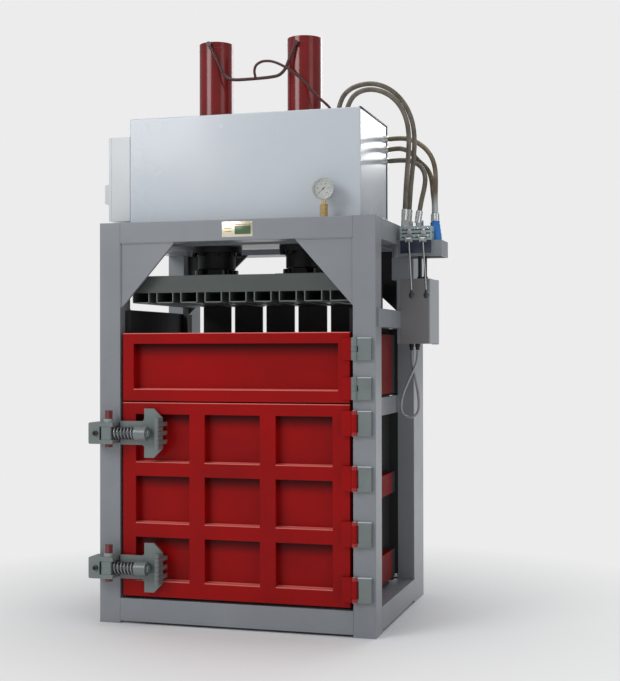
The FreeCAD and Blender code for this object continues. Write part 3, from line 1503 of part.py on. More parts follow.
def ferrule(points, length):
    """The crimped sleeve on a hose's end, in line with its last run; points start at that end."""
    end, after = Vector(*points[0]), Vector(*points[1])
    return leaning_rod(tuple(end), (end - after).normalize(), ferrule_radius, length)


fittings = []
for label, length in (("top_hose_outer", top_ferrule_outer), ("top_hose_inner", top_ferrule_inner)):
    x, y, z = hose_points[label][0]
    fittings.append(fuse(
        ferrule(hose_points[label], length), prism((x - 3, y), nut_flats, (cabinet_top, cabinet_top + top_nut_height))
    ))
for label in ("side_hose_upper", "side_hose_middle", "side_hose_lower"):
    x, y, z = hose_points[label][0]
    fittings.append(fuse(
        ferrule(hose_points[label], side_ferrule),
        rod((y, z), side_nut_radius, (cabinet_half, cabinet_half + side_nut_length), "x"),
    ))
for label in ("top_hose_outer", "top_hose_inner", "side_hose_lower"):
    x, y, z = hose_points[label][-1]
    fittings.append(fuse(
        ferrule(hose_points[label][::-1], ferrule_length),
        prism((x, y), nut_flats, (valve_top, valve_top + nut_height)),
    ))
boot_top = tray_top + boot_height
boots = []
for label in ("side_hose_upper", "side_hose_middle"):
    x, y, z = hose_points[label][-1]
    boots.append(taper((x, y), (boot_radius, boot_top_radius), (tray_top, boot_top)))
    fittings.append(fuse(
        ferrule(hose_points[label][::-1], boot_ferrule),
        rod((x, y), ferrule_radius, (boot_top, boot_top + boot_ferrule / 2)),
    ))
keep(group(*fittings), "hose_fittings")
keep(group(*boots), "hose_boots")


# ---------------------------------------------------------------- electric box on its bracket

bracket_y = (front + box_front + bracket_setback, front + box_front + bracket_setback + bracket_depth)
folded = channel(bracket_left, bracket_width, bracket_y[0], bracket_y[1], bracket_sheet)
column = new_body()
pad(column, "XY_Plane", [folded], box_bottom, box_top)
tongue_y = (bracket_y[0], bracket_y[0] + bracket_sheet + 3)
bracket_edge = half - bracket_plate_inset
stay_z = (upper_rail_level - stay_drop, upper_rail_level - stay_drop + stay_height)
arm_level = upper_rail_level + (rail_height - bracket_arm_height) / 2
arm_y = (bracket_y[0] + bracket_arm_inset, bracket_y[0] + bracket_arm_inset + bracket_arm_depth)
keep(fuse(
    column,
    block((bracket_edge, bracket_right), bracket_y, (box_top - bracket_sheet, box_top)),
    block((bracket_edge, bracket_edge + bracket_tongue), tongue_y, (box_top, tray_bottom)),
    block((bracket_edge, bracket_edge + bracket_sheet + 3), arm_y, (box_top, beam_bottom)),
    block((half, half + stay_thickness), (front + stay_place, bracket_y[0]), stay_z),
    block((inner + rail_thickness, bracket_right - bracket_sheet), arm_y, (arm_level, arm_level + bracket_arm_height)),
), "equipment_bracket")

box_x = (bracket_right, bracket_right + box_width)
box_y = (front + box_front, front + box_front + box_depth)
box_z = (box_bottom, box_top)
box_axis = (box_x[1] + lid_knuckle + lid_pivot_gap, box_y[1])
keep(fuse(
    cut(
        block(box_x, box_y, box_z),
        block((box_x[0] + box_sheet, box_x[1]), (box_y[0] + box_sheet, box_y[1] - box_sheet),
              (box_bottom + box_sheet, box_top - box_sheet)),
    ),
    *pivot_ears((box_x[1] - ear_length, box_axis[0]), (box_y[1] - ear_length, box_y[1]), box_z, box_axis),
), "electric_box")
door_x = (box_x[1] + lid_gap, box_x[1] + lid_gap + box_lid_depth)
keep(lid_of(door_x, box_y, box_z, (door_x[0], door_x[1] - box_sheet), box_sheet, box_axis), "electric_box_door")

conduits = []
for place in (first_conduit_place, second_conduit_place):
    at = (tray_left + place, box_y[0] + conduit_setback)
    conduits.append(fuse(
        rod(at, conduit_radius, (box_top, tray_top - tray_sheet)), rod(at, gland_nut_radius, (box_top, box_top + 12))
    ))
for x, y, z in (cable_points[0], cable_points[-1]):
    gland_end = box_bottom - gland_nut_height + seat_clearance
    conduits.append(fuse(
        rod((x, y), gland_nut_radius, (box_bottom - gland_nut_height / 2, box_bottom)),
        rod((x, y), gland_nut_radius * 0.75, (gland_end, box_bottom - gland_nut_height / 2)),
    ))
keep(group(*conduits), "conduits")


# ---------------------------------------------------------------- checks and files

doc.recompute()
failed = [thing.Name for thing in doc.Objects if {"Invalid", "Error"} & set(thing.State)]
if failed:
    raise RuntimeError(f"these objects did not compute: {failed}")
labels = [thing.Label for thing in nodes]
if len(set(labels)) != len(labels):
    raise RuntimeError("two sub-parts share a name")
for thing in nodes:
    if thing.Shape.isNull() or not thing.Shape.isValid() or not thing.Shape.Solids:
        raise RuntimeError(f"{thing.Label} has no valid solid")
os.makedirs("parts", exist_ok=True)
for thing in nodes:
    thing.Shape.exportStep(f"parts/{thing.Label}.step")
print(len(nodes), "sub-parts written")
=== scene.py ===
"""The looks of a vertical recycling baler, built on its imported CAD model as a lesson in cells."""

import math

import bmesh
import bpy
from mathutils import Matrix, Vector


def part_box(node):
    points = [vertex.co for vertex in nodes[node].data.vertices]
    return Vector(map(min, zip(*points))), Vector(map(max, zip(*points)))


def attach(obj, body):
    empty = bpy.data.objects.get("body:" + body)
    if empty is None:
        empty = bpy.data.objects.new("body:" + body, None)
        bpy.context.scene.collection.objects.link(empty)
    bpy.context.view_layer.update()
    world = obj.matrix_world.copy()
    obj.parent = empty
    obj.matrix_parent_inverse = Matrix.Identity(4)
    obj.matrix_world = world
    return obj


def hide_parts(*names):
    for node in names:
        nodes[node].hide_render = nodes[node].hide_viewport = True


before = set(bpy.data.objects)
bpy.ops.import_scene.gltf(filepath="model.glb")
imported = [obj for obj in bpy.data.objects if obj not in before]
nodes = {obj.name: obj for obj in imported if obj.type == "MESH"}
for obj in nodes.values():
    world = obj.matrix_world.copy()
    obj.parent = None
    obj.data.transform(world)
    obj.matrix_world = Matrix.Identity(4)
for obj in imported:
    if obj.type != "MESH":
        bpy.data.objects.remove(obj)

# %% [markdown]
# # A recycling baler, dressed step by step
# The CAD model gives every welded, turned and folded piece its true size and place. This script gives
# them paint, metal and rubber, and adds what is too fine for the CAD: hoses with a smooth line, coiled
# springs, the dial of the pressure gauge, weld beads, screws, seals and rubber edging.
# All lengths are metres. The camera stands at the door side, a little to the right of the machine.

scene = bpy.context.scene
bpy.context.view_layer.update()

# %% [markdown]
# ## Where things are
# The drawings of the machine are in millimetres from the middle of its frame. Cords and a few details
# repeat those numbers, so one small function moves them into the scene.

# %% A place on the machine
MIDDLE = Vector((-0.080, 0.052, 0.0))


def place(x, y, z):
    """A point of the machine's drawing, in millimetres, as a point of the scene."""
    return Vector((x, y, z)) / 1000 + MIDDLE


# %% [markdown]
# ## From mesh to piece
# Every new piece is made in a bmesh, Blender's editable mesh. Turning and mirroring can leave faces
# looking inwards, so doubles are merged and normals recalculated before the mesh becomes an object.
# The object itself stays at the origin: its place is in its vertices, and it rides on a CAD body.

# %% Finishing a bmesh
def finish_piece(bm, name, body, material, smooth=True, angle=35):
    bmesh.ops.remove_doubles(bm, verts=bm.verts, dist=1e-6)
    bmesh.ops.recalc_face_normals(bm, faces=bm.faces)
    mesh = bpy.data.meshes.new(name)
    bm.to_mesh(mesh)
    bm.free()
    mesh.materials.append(material)
    piece = bpy.data.objects.new(name, mesh)
    scene.collection.objects.link(piece)
    if smooth:
        mesh.shade_smooth()
        mesh.set_sharp_from_angle(angle=math.radians(angle))
    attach(piece, body)
    return piece


# %% [markdown]
# ## Camera
# A fit of the photograph's corners to the machine gave the camera: a long lens, 6.5 m away, at chest
# height and turned 16 degrees. The order of the turns matters: first upright, then tilt, then heading.

# %% The photograph's camera
camera_data = bpy.data.cameras.new("camera")
SENSOR_MM, FOCAL_PIXELS, PICTURE_HEIGHT = 36, 1267.3, 681
camera_data.lens = SENSOR_MM * FOCAL_PIXELS / PICTURE_HEIGHT
camera = bpy.data.objects.new("camera", camera_data)
scene.collection.objects.link(camera)
CAMERA_PLACE = place(2022.0, -6203.3, 1323.0)
heading = Matrix.Rotation(math.radians(16.242), 4, "Z")
tilt = Matrix.Rotation(math.radians(90.41), 4, "X")
roll = Matrix.Rotation(math.radians(-0.102), 4, "Z")
camera.matrix_world = Matrix.Translation(CAMERA_PLACE) @ heading @ tilt @ roll
scene.camera = camera
print(f"lens {camera_data.lens:.1f} mm")

# %% [markdown]
# ## Colours
# Blender's colour sockets are linear, while a colour read off a picture is sRGB. This converts one to
# the other, so that each paint can be written as it looks.

# %% sRGB to linear
def colour(red, green, blue):
    def linear(value):
        value /= 255
        return value / 12.92 if value <= 0.04045 else ((value + 0.055) / 1.055) ** 2.4

    return (linear(red), linear(green), linear(blue), 1.0)


# %% [markdown]
# ## Shader groups
# Sprayed paint, worn steel and rubber all vary a little over their surface. Each effect is a node
# group, built once and placed in many materials with its own values. A group only hands out colours,
# values and heights: the Principled shader stays in the material.

# %% Building a group
VECTOR, COLOUR, VALUE = "NodeSocketVector", "NodeSocketColor", "NodeSocketFloat"


def plug(tree, value, socket):
    """Link another node's output to a socket, or give the socket a plain value."""
    if hasattr(value, "links"):
        tree.links.new(value, socket)
    else:
        socket.default_value = value


def new_group(name, inputs, outputs):
    group = bpy.data.node_groups.new(name, "ShaderNodeTree")
    for label, kind, value in inputs:
        socket = group.interface.new_socket(label, in_out="INPUT", socket_type=kind)
        if value is not None:
            socket.default_value = value
    for label, kind in outputs:
        group.interface.new_socket(label, in_out="OUTPUT", socket_type=kind)
    return group, group.nodes.new("NodeGroupInput"), group.nodes.new("NodeGroupOutput")


def noise(tree, vector, scale, detail=3.0, roughness=0.5):
    node = tree.nodes.new("ShaderNodeTexNoise")
    node.inputs["Detail"].default_value = detail
    node.inputs["Roughness"].default_value = roughness
    plug(tree, scale, node.inputs["Scale"])
    tree.links.new(vector, node.inputs["Vector"])
    return node.outputs["Fac"]


def between(tree, value, low, high, to_low=0.0, to_high=1.0):
    """A value stretched from one span to another, and kept inside it."""
    node = tree.nodes.new("ShaderNodeMapRange")
    spans = (("From Min", low), ("From Max", high), ("To Min", to_low), ("To Max", to_high))
    for label, number in spans:
        plug(tree, number, node.inputs[label])
    tree.links.new(value, node.inputs["Value"])
    return node.outputs["Result"]


def blend_colours(tree, factor, first, second):
    node = tree.nodes.new("ShaderNodeMix")
    node.data_type = "RGBA"
    for label, kind, value in (("Factor", "VALUE", factor), ("A", "RGBA", first), ("B", "RGBA", second)):
        plug(tree, value, next(s for s in node.inputs if s.name == label and s.type == kind))
    return next(s for s in node.outputs if s.type == "RGBA")


def combine(tree, kind, first, second):
    node = tree.nodes.new("ShaderNodeMath")
    node.operation = kind
    for socket, value in zip(node.inputs, (first, second)):
        plug(tree, value, socket)
    return node.outputs[0]


# %% [markdown]
# Sprayed enamel is never one flat colour: thick and thin coats show as soft clouds, dust settles in
# specks, and the surface has the fine waves that painters call orange peel.

# %% Sprayed enamel
ENAMEL, inward, outward = new_group(
    "sprayed_enamel",
    [("Vector", VECTOR, None), ("Coat", COLOUR, None), ("Thin Coat", COLOUR, None),
     ("Cloud Scale", VALUE, 2.2), ("Dust", VALUE, 0.15),
     ("Gloss Low", VALUE, 0.25), ("Gloss High", VALUE, 0.4)],
    [("Color", COLOUR), ("Roughness", VALUE), ("Height", VALUE)],
)
clouds = noise(ENAMEL, inward.outputs["Vector"], inward.outputs["Cloud Scale"], 5, 0.6)
specks = between(ENAMEL, noise(ENAMEL, inward.outputs["Vector"], 190, 2, 0.7), 0.62, 0.78)
peel = noise(ENAMEL, inward.outputs["Vector"], 340, 2, 0.5)
coat = blend_colours(
    ENAMEL, between(ENAMEL, clouds, 0.35, 0.68), inward.outputs["Coat"], inward.outputs["Thin Coat"]
)
dusty = combine(ENAMEL, "MULTIPLY", specks, inward.outputs["Dust"])
DUST_COLOUR = colour(150, 147, 140)
coat = blend_colours(ENAMEL, dusty, coat, DUST_COLOUR)
gloss = between(ENAMEL, clouds, 0.3, 0.7, inward.outputs["Gloss Low"], inward.outputs["Gloss High"])
ENAMEL.links.new(coat, outward.inputs["Color"])
dulled = combine(ENAMEL, "MULTIPLY", dusty, 0.3)
ENAMEL.links.new(combine(ENAMEL, "ADD", gloss, dulled), outward.inputs["Roughness"])
ENAMEL.links.new(peel, outward.inputs["Height"])

# %% [markdown]
# Turned and ground steel carries fine lines from the tool. Stretching the noise along one axis gives
# those lines, and the same lines drive colour, gloss and height, so that they agree with each other.

# %% Tool-marked steel
STEEL, inward, outward = new_group(
    "tool_marked_steel",
    [("Vector", VECTOR, None), ("Bright", COLOUR, None), ("Dull", COLOUR, None),
     ("Gloss Low", VALUE, 0.2), ("Gloss High", VALUE, 0.45)],
    [("Color", COLOUR), ("Roughness", VALUE), ("Height", VALUE)],
)
stretch = STEEL.nodes.new("ShaderNodeMapping")
LINE_STRETCH = (12, 12, 420)
stretch.inputs["Scale"].default_value = LINE_STRETCH
STEEL.links.new(inward.outputs["Vector"], stretch.inputs["Vector"])
lines = noise(STEEL, stretch.outputs["Vector"], 1.0, 3, 0.6)
stains = noise(STEEL, inward.outputs["Vector"], 14, 4, 0.6)
mixed = between(STEEL, combine(STEEL, "ADD", lines, stains), 0.75, 1.25)
STEEL.links.new(
    blend_colours(STEEL, mixed, inward.outputs["Bright"], inward.outputs["Dull"]),
    outward.inputs["Color"]
)
STEEL.links.new(
    between(STEEL, mixed, 0, 1, inward.outputs["Gloss Low"], inward.outputs["Gloss High"]),
    outward.inputs["Roughness"],
)
STEEL.links.new(lines, outward.inputs["Height"])

# %% [markdown]
# Rubber and moulded plastic are matt, slightly mottled and finely grained.

# %% Moulded rubber and plastic
MOULDED, inward, outward = new_group(
    "moulded_grain",
    [("Vector", VECTOR, None), ("Body", COLOUR, None), ("Rubbed", COLOUR, None),
     ("Grain Scale", VALUE, 90), ("Gloss Low", VALUE, 0.4), ("Gloss High", VALUE, 0.65)],
    [("Color", COLOUR), ("Roughness", VALUE), ("Height", VALUE)],
)
grain = noise(MOULDED, inward.outputs["Vector"], inward.outputs["Grain Scale"], 4, 0.65)
rubbed = between(MOULDED, noise(MOULDED, inward.outputs["Vector"], 16, 4, 0.6), 0.4, 0.7)
MOULDED.links.new(
    blend_colours(MOULDED, rubbed, inward.outputs["Body"], inward.outputs["Rubbed"]),
    outward.inputs["Color"]
)
MOULDED.links.new(
    between(MOULDED, grain, 0.3, 0.7, inward.outputs["Gloss Low"], inward.outputs["Gloss High"]),
    outward.inputs["Roughness"],
)
MOULDED.links.new(grain, outward.inputs["Height"])
print("shader groups:", [group.name for group in bpy.data.node_groups])

# %% [markdown]
# ## Materials
# A material joins one group to one Principled shader, with a small bump. What is the same all over,
# such as the coat or the metal, is set on the shader itself.

# %% Making a material from a group
RELIEF_DEPTH = 0.0004


def new_material(name, group, values, bump, **shader):
    material = bpy.data.materials.new(name + "_finish")
    material.use_nodes = True
    tree = material.node_tree
    principled = tree.nodes["Principled BSDF"]
    effect = tree.nodes.new("ShaderNodeGroup")
    effect.node_tree = group
    effect.label = group.name
    where = tree.nodes.new("ShaderNodeTexCoord")
    tree.links.new(where.outputs["Object"], effect.inputs["Vector"])
    for label, value in values.items():
        effect.inputs[label].default_value = value
    tree.links.new(effect.outputs["Color"], principled.inputs["Base Color"])
    tree.links.new(effect.outputs["Roughness"], principled.inputs["Roughness"])
    relief = tree.nodes.new("ShaderNodeBump")
    relief.inputs["Strength"].default_value = bump
    relief.inputs["Distance"].default_value = RELIEF_DEPTH
    tree.links.new(effect.outputs["Height"], relief.inputs["Height"])
    tree.links.new(relief.outputs["Normal"], principled.inputs["Normal"])
    for label, value in shader.items():
        principled.inputs[label.replace("_", " ")].default_value = value
    return material


def enamel(name, coat, thin, low=0.25, high=0.38, dust=0.12, clouds=2.2, clear=0.3, shine=0.5):
    return new_material(
        name, ENAMEL,
        {"Coat": coat, "Thin Coat": thin, "Cloud Scale": clouds, "Dust": dust, "Gloss Low": low,
         "Gloss High": high},
        bump=0.12, Coat_Weight=clear, Coat_Roughness=0.12, Specular_IOR_Level=shine,
    )


def steel(name, bright, dull, low=0.2, high=0.42):
    return new_material(
        name, STEEL, {"Bright": bright, "Dull": dull, "Gloss Low": low, "Gloss High": high},
        bump=0.15, Metallic=1.0,
    )


def moulded(name, body, rubbed, grain=90, low=0.4, high=0.65, bump=0.2):
    return new_material(
        name, MOULDED,
        {"Body": body, "Rubbed": rubbed, "Grain Scale": grain, "Gloss Low": low, "Gloss High": high},
        bump=bump,
    )


# %% [markdown]
# Some CAD pieces carry two colours: a chamber wall is dark grey inside and red outside, partly its own
# paint and partly painted shade, and a hose's foot fades to a pale sleeve. A mask made from the place on
# the piece picks between them. A copied material can take such a mask while the first one stays plain.

# %% A second colour by place
def place_mask(tree, limits):
    """One where every limit is met. A limit is an axis with the values where the colour starts and
    is full; with a centre as fourth item, the values are distances from it."""
    where = tree.nodes.new("ShaderNodeTexCoord")
    parts = tree.nodes.new("ShaderNodeSeparateXYZ")
    tree.links.new(where.outputs["Object"], parts.inputs[0])
    mask = None
    for axis, low, high, *centre in limits:
        value = parts.outputs[axis]
        if centre:
            value = combine(tree, "ABSOLUTE", combine(tree, "SUBTRACT", value, centre[0]), 0.0)
        met = between(tree, value, low, high)
        mask = met if mask is None else combine(tree, "MULTIPLY", mask, met)
    return mask


def second_colour(material, other, *limits, strength=1.0):
    tree = material.node_tree
    principled = tree.nodes["Principled BSDF"]
    before = principled.inputs["Base Color"].links[0].from_socket
    mask = place_mask(tree, limits)
    if strength < 1:
        mask = combine(tree, "MULTIPLY", mask, strength)
    tree.links.new(blend_colours(tree, mask, before, other), principled.inputs["Base Color"])
    return material


def copied(material, name):
    other = material.copy()
    other.name = name
    return other


# %% The finishes of this machine
frame_grey = enamel("frame_grey", colour(138, 142, 147), colour(128, 132, 138), 0.3, 0.42, clear=0.15)
cabinet_grey = enamel("cabinet_grey", colour(197, 203, 209), colour(189, 196, 203), 0.2, 0.3, 0.06, 1.4,
                      0.4)
box_grey = enamel("box_grey", colour(201, 205, 208), colour(194, 198, 202), 0.3, 0.42)
electric_grey = enamel("electric_grey", colour(127, 126, 127), colour(119, 118, 119), 0.3, 0.45)
# The dark red is painted shade for the door recesses, the pale red a painted highlight on their ledges
# and tops.
RED, SHADED_RED, PAINTED_HIGHLIGHT_RED = colour(160, 7, 8), colour(52, 3, 5), colour(222, 116, 108)
CHAMBER_GREY_AND_SHADE = colour(48, 48, 49)
door_red = enamel("door_red", RED, colour(142, 7, 9), 0.34, 0.46, 0.02, 2.6, 0.04, 0.12)
wall_red = enamel("wall_red", colour(128, 6, 7), colour(104, 4, 5), 0.4, 0.55, 0.03, clear=0.0,
                  shine=0.08)
cylinder_red = enamel("cylinder_red", colour(122, 26, 24), colour(104, 20, 19), 0.16, 0.26, 0.03, 4.0,
                      0.3, 0.35)
pipe_maroon = enamel("pipe_maroon", colour(74, 28, 32), colour(62, 22, 26), 0.25, 0.4, 0.05, clear=0.15,
                     shine=0.35)
gland_black = enamel("gland_black", colour(30, 30, 31), colour(22, 22, 23), 0.4, 0.55, clear=0.0,
                     shine=0.3)
# The chamber's floor and rear wall: dark grey steel, darkened further as painted shade.
chamber_dark = enamel("chamber_dark", colour(66, 66, 67), colour(55, 55, 57), 0.45, 0.6, 0.3, clear=0.0,
                      shine=0.3)
platen_green = enamel("platen_green", colour(76, 84, 81), colour(66, 73, 71), 0.35, 0.5, 0.2, clear=0.1)
latch_grey = enamel("latch_grey", colour(120, 129, 128), colour(107, 116, 115), 0.28, 0.4, 0.15, 6.0,
                    0.2)
valve_grey = enamel("valve_grey", colour(166, 180, 178), colour(150, 166, 164), 0.3, 0.45, 0.1, 9.0)
motor_blue = enamel("motor_blue", colour(74, 92, 108), colour(66, 82, 98), 0.35, 0.5)
lid_grey = enamel("lid_grey", colour(168, 171, 174), colour(160, 163, 166), 0.3, 0.42)
bare_steel = steel("bare_steel", (0.56, 0.56, 0.56, 1), (0.40, 0.39, 0.38, 1))
bright_steel = steel("bright_steel", (0.80, 0.80, 0.78, 1), (0.62, 0.62, 0.60, 1), 0.14, 0.3)
spring_steel = steel("spring_steel", (0.34, 0.36, 0.37, 1), (0.16, 0.17, 0.18, 1), 0.3, 0.5)
rod_chrome = steel("rod_chrome", (0.80, 0.80, 0.80, 1), (0.74, 0.74, 0.74, 1), 0.06, 0.14)
brass = steel("brass", (0.72, 0.52, 0.24, 1), (0.55, 0.38, 0.16, 1), 0.2, 0.35)
hose_rubber = moulded("hose_rubber", colour(92, 86, 76), colour(122, 114, 100), 240, 0.3, 0.5, 0.35)
black_rubber = moulded("black_rubber", colour(30, 30, 31), colour(42, 42, 43))
boot_blue = moulded("boot_blue", colour(24, 104, 190), colour(52, 134, 210), 60, 0.35, 0.5)
cable_grey = moulded("cable_grey", colour(158, 160, 163), colour(140, 142, 145), 200, 0.35, 0.5)
knob_black = moulded("knob_black", colour(60, 62, 64), colour(76, 78, 80), 60, 0.2, 0.35)
print(len(bpy.data.materials), "materials")

# %% [markdown]
# ## Hoses first
# A hydraulic hose is stiff: it leaves its fitting straight, and then takes the widest bend it can. A
# NURBS curve with the drawing's points as control points gives that line, without corners. The spline's
# order and its pinned ends are set after the points, because a new spline starts with too few of them.

# %% The routes of hoses and cable
hose_routes = {
    "top_hose_outer": [
        (416, -191, 2488), (427, -184, 2550), (460, -166, 2600), (512, -140, 2629), (577, -110, 2639),
        (639, -83, 2620), (691, -59, 2580), (731, -40, 2522), (755, -25, 2454), (763, -14, 2380),
        (759, -9, 2298), (749, -9, 2208), (740, -10, 2112), (734, -10, 2018),
    ],
    "top_hose_inner": [
        (478, -258, 2486), (492, -249, 2534), (524, -231, 2573), (572, -204, 2592), (627, -175, 2587),
        (678, -148, 2560), (718, -122, 2513), (742, -101, 2450), (750, -88, 2374), (746, -82, 2288),
        (738, -80, 2196), (731, -80, 2104), (727, -80, 2014),
    ],
    "side_hose_upper": [
        (604, 100, 2393), (670, 95, 2397), (735, 80, 2380), (792, 60, 2343), (836, 38, 2293),
        (861, 16, 2227), (866, 0, 2150), (865, -10, 2069), (869, -14, 1994),
    ],
    "side_hose_middle": [
        (604, 100, 2339), (648, 101, 2346), (691, 102, 2338), (729, 102, 2314), (758, 100, 2277),
        (800, 95, 2241), (823, 84, 2204), (835, 70, 2155), (841, 57, 2104), (850, 47, 2048),
        (849, 44, 1998),
    ],
    "side_hose_lower": [
        (604, 100, 2281), (668, 92, 2284), (734, 70, 2272), (788, 38, 2238), (814, 8, 2184),
        (812, -16, 2122), (800, -33, 2062), (792, -40, 2006),
    ],
}
cable_route = [
    (764, 44, 1316), (764, 44, 1276), (748, 44, 1230), (725, 44, 1184), (704, 45, 1138), (686, 47, 1094),
    (677, 49, 1048), (678, 52, 1010), (694, 55, 988), (720, 59, 980), (746, 63, 988), (762, 67, 1010),
    (765, 73, 1050), (759, 80, 1100), (749, 86, 1150), (737, 90, 1202), (724, 90, 1262), (724, 90, 1316),
]


HOSE_RADIUS, CABLE_RADIUS = 0.012, 0.0065


def lay_cord(name, route, radius, material):
    curve = bpy.data.curves.new(name + "_curve", "CURVE")
    curve.dimensions = "3D"
    curve.bevel_depth = radius
    curve.bevel_resolution = 6
    curve.resolution_u = 10
    curve.use_fill_caps = True
    spline = curve.splines.new("NURBS")
    spline.points.add(len(route) - 1)
    for point, (x, y, z) in zip(spline.points, route):
        point.co = (*place(x, y, z), 1.0)
    spline.order_u = 3
    spline.use_endpoint_u = True
    curve.materials.append(material)
    piece = bpy.data.objects.new(name + "_line", curve)
    scene.collection.objects.link(piece)
    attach(piece, "frame")
    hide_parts(name)


# %% [markdown]
# The two hoses that end in the blue boots turn paler towards their foot, where a clear sleeve covers
# them, so their material gets a second colour by height.

# %% Laying the cords
sleeved_rubber = moulded("sleeved_rubber", colour(96, 84, 66), colour(132, 116, 92), 240, 0.3, 0.5, 0.35)
second_colour(sleeved_rubber, colour(176, 180, 182), (2, 2.10, 2.03))
for label, route in hose_routes.items():
    skin = sleeved_rubber if label in ("side_hose_upper", "side_hose_middle") else hose_rubber
    lay_cord(label, route, HOSE_RADIUS, skin)
lay_cord("electric_box_cable", cable_route, CABLE_RADIUS, cable_grey)

# %% [markdown]
# ## Paint for the CAD pieces
# Most pieces are right as they come from the CAD, and only change their material. A few of them carry
# a second colour, each with its own limits: walls dark grey between their ribs, partly their own colour
# and partly painted shade; collars light; a painted highlight on the hinge plates' top edges and on the
# platen channels' front rims; the lower hinge knuckles red; the rear gussets black as painted shade.

# %% Pieces in two colours
# The chamber walls are dark grey between their red ribs, partly the steel's own colour and partly
# painted shade; the parts behind the rear wall and above the doors' top get the same painted shade.
wall_red_grey_and_shade = copied(wall_red, "wall_red_grey_and_shade")
second_colour(wall_red_grey_and_shade, CHAMBER_GREY_AND_SHADE, (0, 0.5612, 0.5606, MIDDLE.x))
second_colour(wall_red_grey_and_shade, CHAMBER_GREY_AND_SHADE, (1, 0.2325, 0.2330))
second_colour(wall_red_grey_and_shade, CHAMBER_GREY_AND_SHADE, (2, 1.404, 1.405), (0, 0.6010, 0.6000, MIDDLE.x))
# The front rims of the platen's channels are lighter: a painted highlight.
platen_rim_highlight = second_colour(copied(platen_green, "platen_rim_highlight"), colour(104, 110, 108),
                            (1, -0.4415, -0.4425))
latch_bolt = enamel("latch_bolt", colour(116, 44, 46), colour(92, 32, 34), 0.3, 0.45, 0.1, 9.0)
second_colour(latch_bolt, colour(28, 28, 30), (1, -0.5985, -0.5990))
COLLAR_LEVELS = (0.9835, 0.3390)
for collar_level in COLLAR_LEVELS:
    second_colour(latch_bolt, colour(150, 156, 156), (2, 0.0088, 0.0085, collar_level))
# The rear gussets are black: painted shade.
gusset_grey_and_painted_shade = second_colour(copied(frame_grey, "gusset_grey_and_painted_shade"), colour(26, 26, 27), (1, 0.0, 0.001))
hinge_grey = second_colour(copied(latch_grey, "hinge_grey"), RED, (0, 0.5275, 0.5265), (2, 1.07, 1.069))
# The hinge plates' top edges get a thin painted highlight.
HINGE_TOPS = (0.2795, 0.5335, 0.7875, 1.0415, 1.1955, 1.3775)
PAINTED_HIGHLIGHT_GREY = colour(206, 211, 213)
for plate_top in HINGE_TOPS:
    second_colour(hinge_grey, PAINTED_HIGHLIGHT_GREY, (2, 0.0034, 0.0026, plate_top), (0, 0.5265, 0.5275))
bracket_grey = second_colour(copied(latch_grey, "bracket_grey"), RED, (1, -0.4690, -0.4685))
rod_dark = copied(rod_chrome, "rod_dark")
second_colour(rod_dark, colour(40, 40, 42), (2, 1.7240, 1.7235))

# %% [markdown]
# The doors' recesses lie in their own shadow just under each upper edge. The soft boxes give part of
# that; the rest is painted shade, a darker red there. The ledge under each recess and the
# top of each door catch the light, so they get a thin painted highlight line.

# %% Doors with shaded recesses
PANELS = {
    "lower_door": ((0.213, 0.421), (0.491, 0.7153), (0.784, 1.0125)),
    "upper_door": ((1.134, 1.352),),
}
COLUMNS = {
    "lower_door": ((-0.5795, -0.3043), (-0.2253, 0.0499), (0.1289, 0.4041)),
    "upper_door": ((-0.5910, 0.4310),),
}
DOOR_TOPS = {"lower_door": 1.070, "upper_door": 1.404}
RECESSED = (1, -0.5005, -0.4990)
NOT_THE_BACK = (1, -0.4575, -0.4585)
NOT_THE_ENDS = (0, 0.522, 0.520, MIDDLE.x)
FRONT_EDGE = (1, -0.4980, -0.4990)
door_paints = {}
# Each recess gets painted shade under its upper edge and a painted highlight line on its ledge; each
# door gets one along its top.
for label, panels in PANELS.items():
    door_paints[label] = copied(door_red, f"{label}_red")
    for bottom, top in panels:
        # The painted shade grows from 70 mm to 8 mm under the recess's upper edge.
        second_colour(door_paints[label], SHADED_RED, (2, top - 0.070, top - 0.008),
                      (2, top + 0.001, top + 0.0005), RECESSED, NOT_THE_BACK, NOT_THE_ENDS, strength=0.9)
        for left, right in COLUMNS[label]:
            half_width = (right - left) / 2
            second_colour(door_paints[label], PAINTED_HIGHLIGHT_RED, (2, 0.0038, 0.0030, bottom),
                          (0, half_width + 0.001, half_width, (left + right) / 2), NOT_THE_BACK)
    second_colour(door_paints[label], PAINTED_HIGHLIGHT_RED, (2, 0.0046, 0.0036, DOOR_TOPS[label]),
                  (0, 0.489, 0.488), FRONT_EDGE)
second_colour(door_paints["upper_door"], colour(118, 127, 126), (0, 0.4965, 0.4972))
print("doors with shaded recesses:", sorted(door_paints))

# %% [markdown]
# The dictionary reads as a painter's list: one finish, and the pieces it goes on.

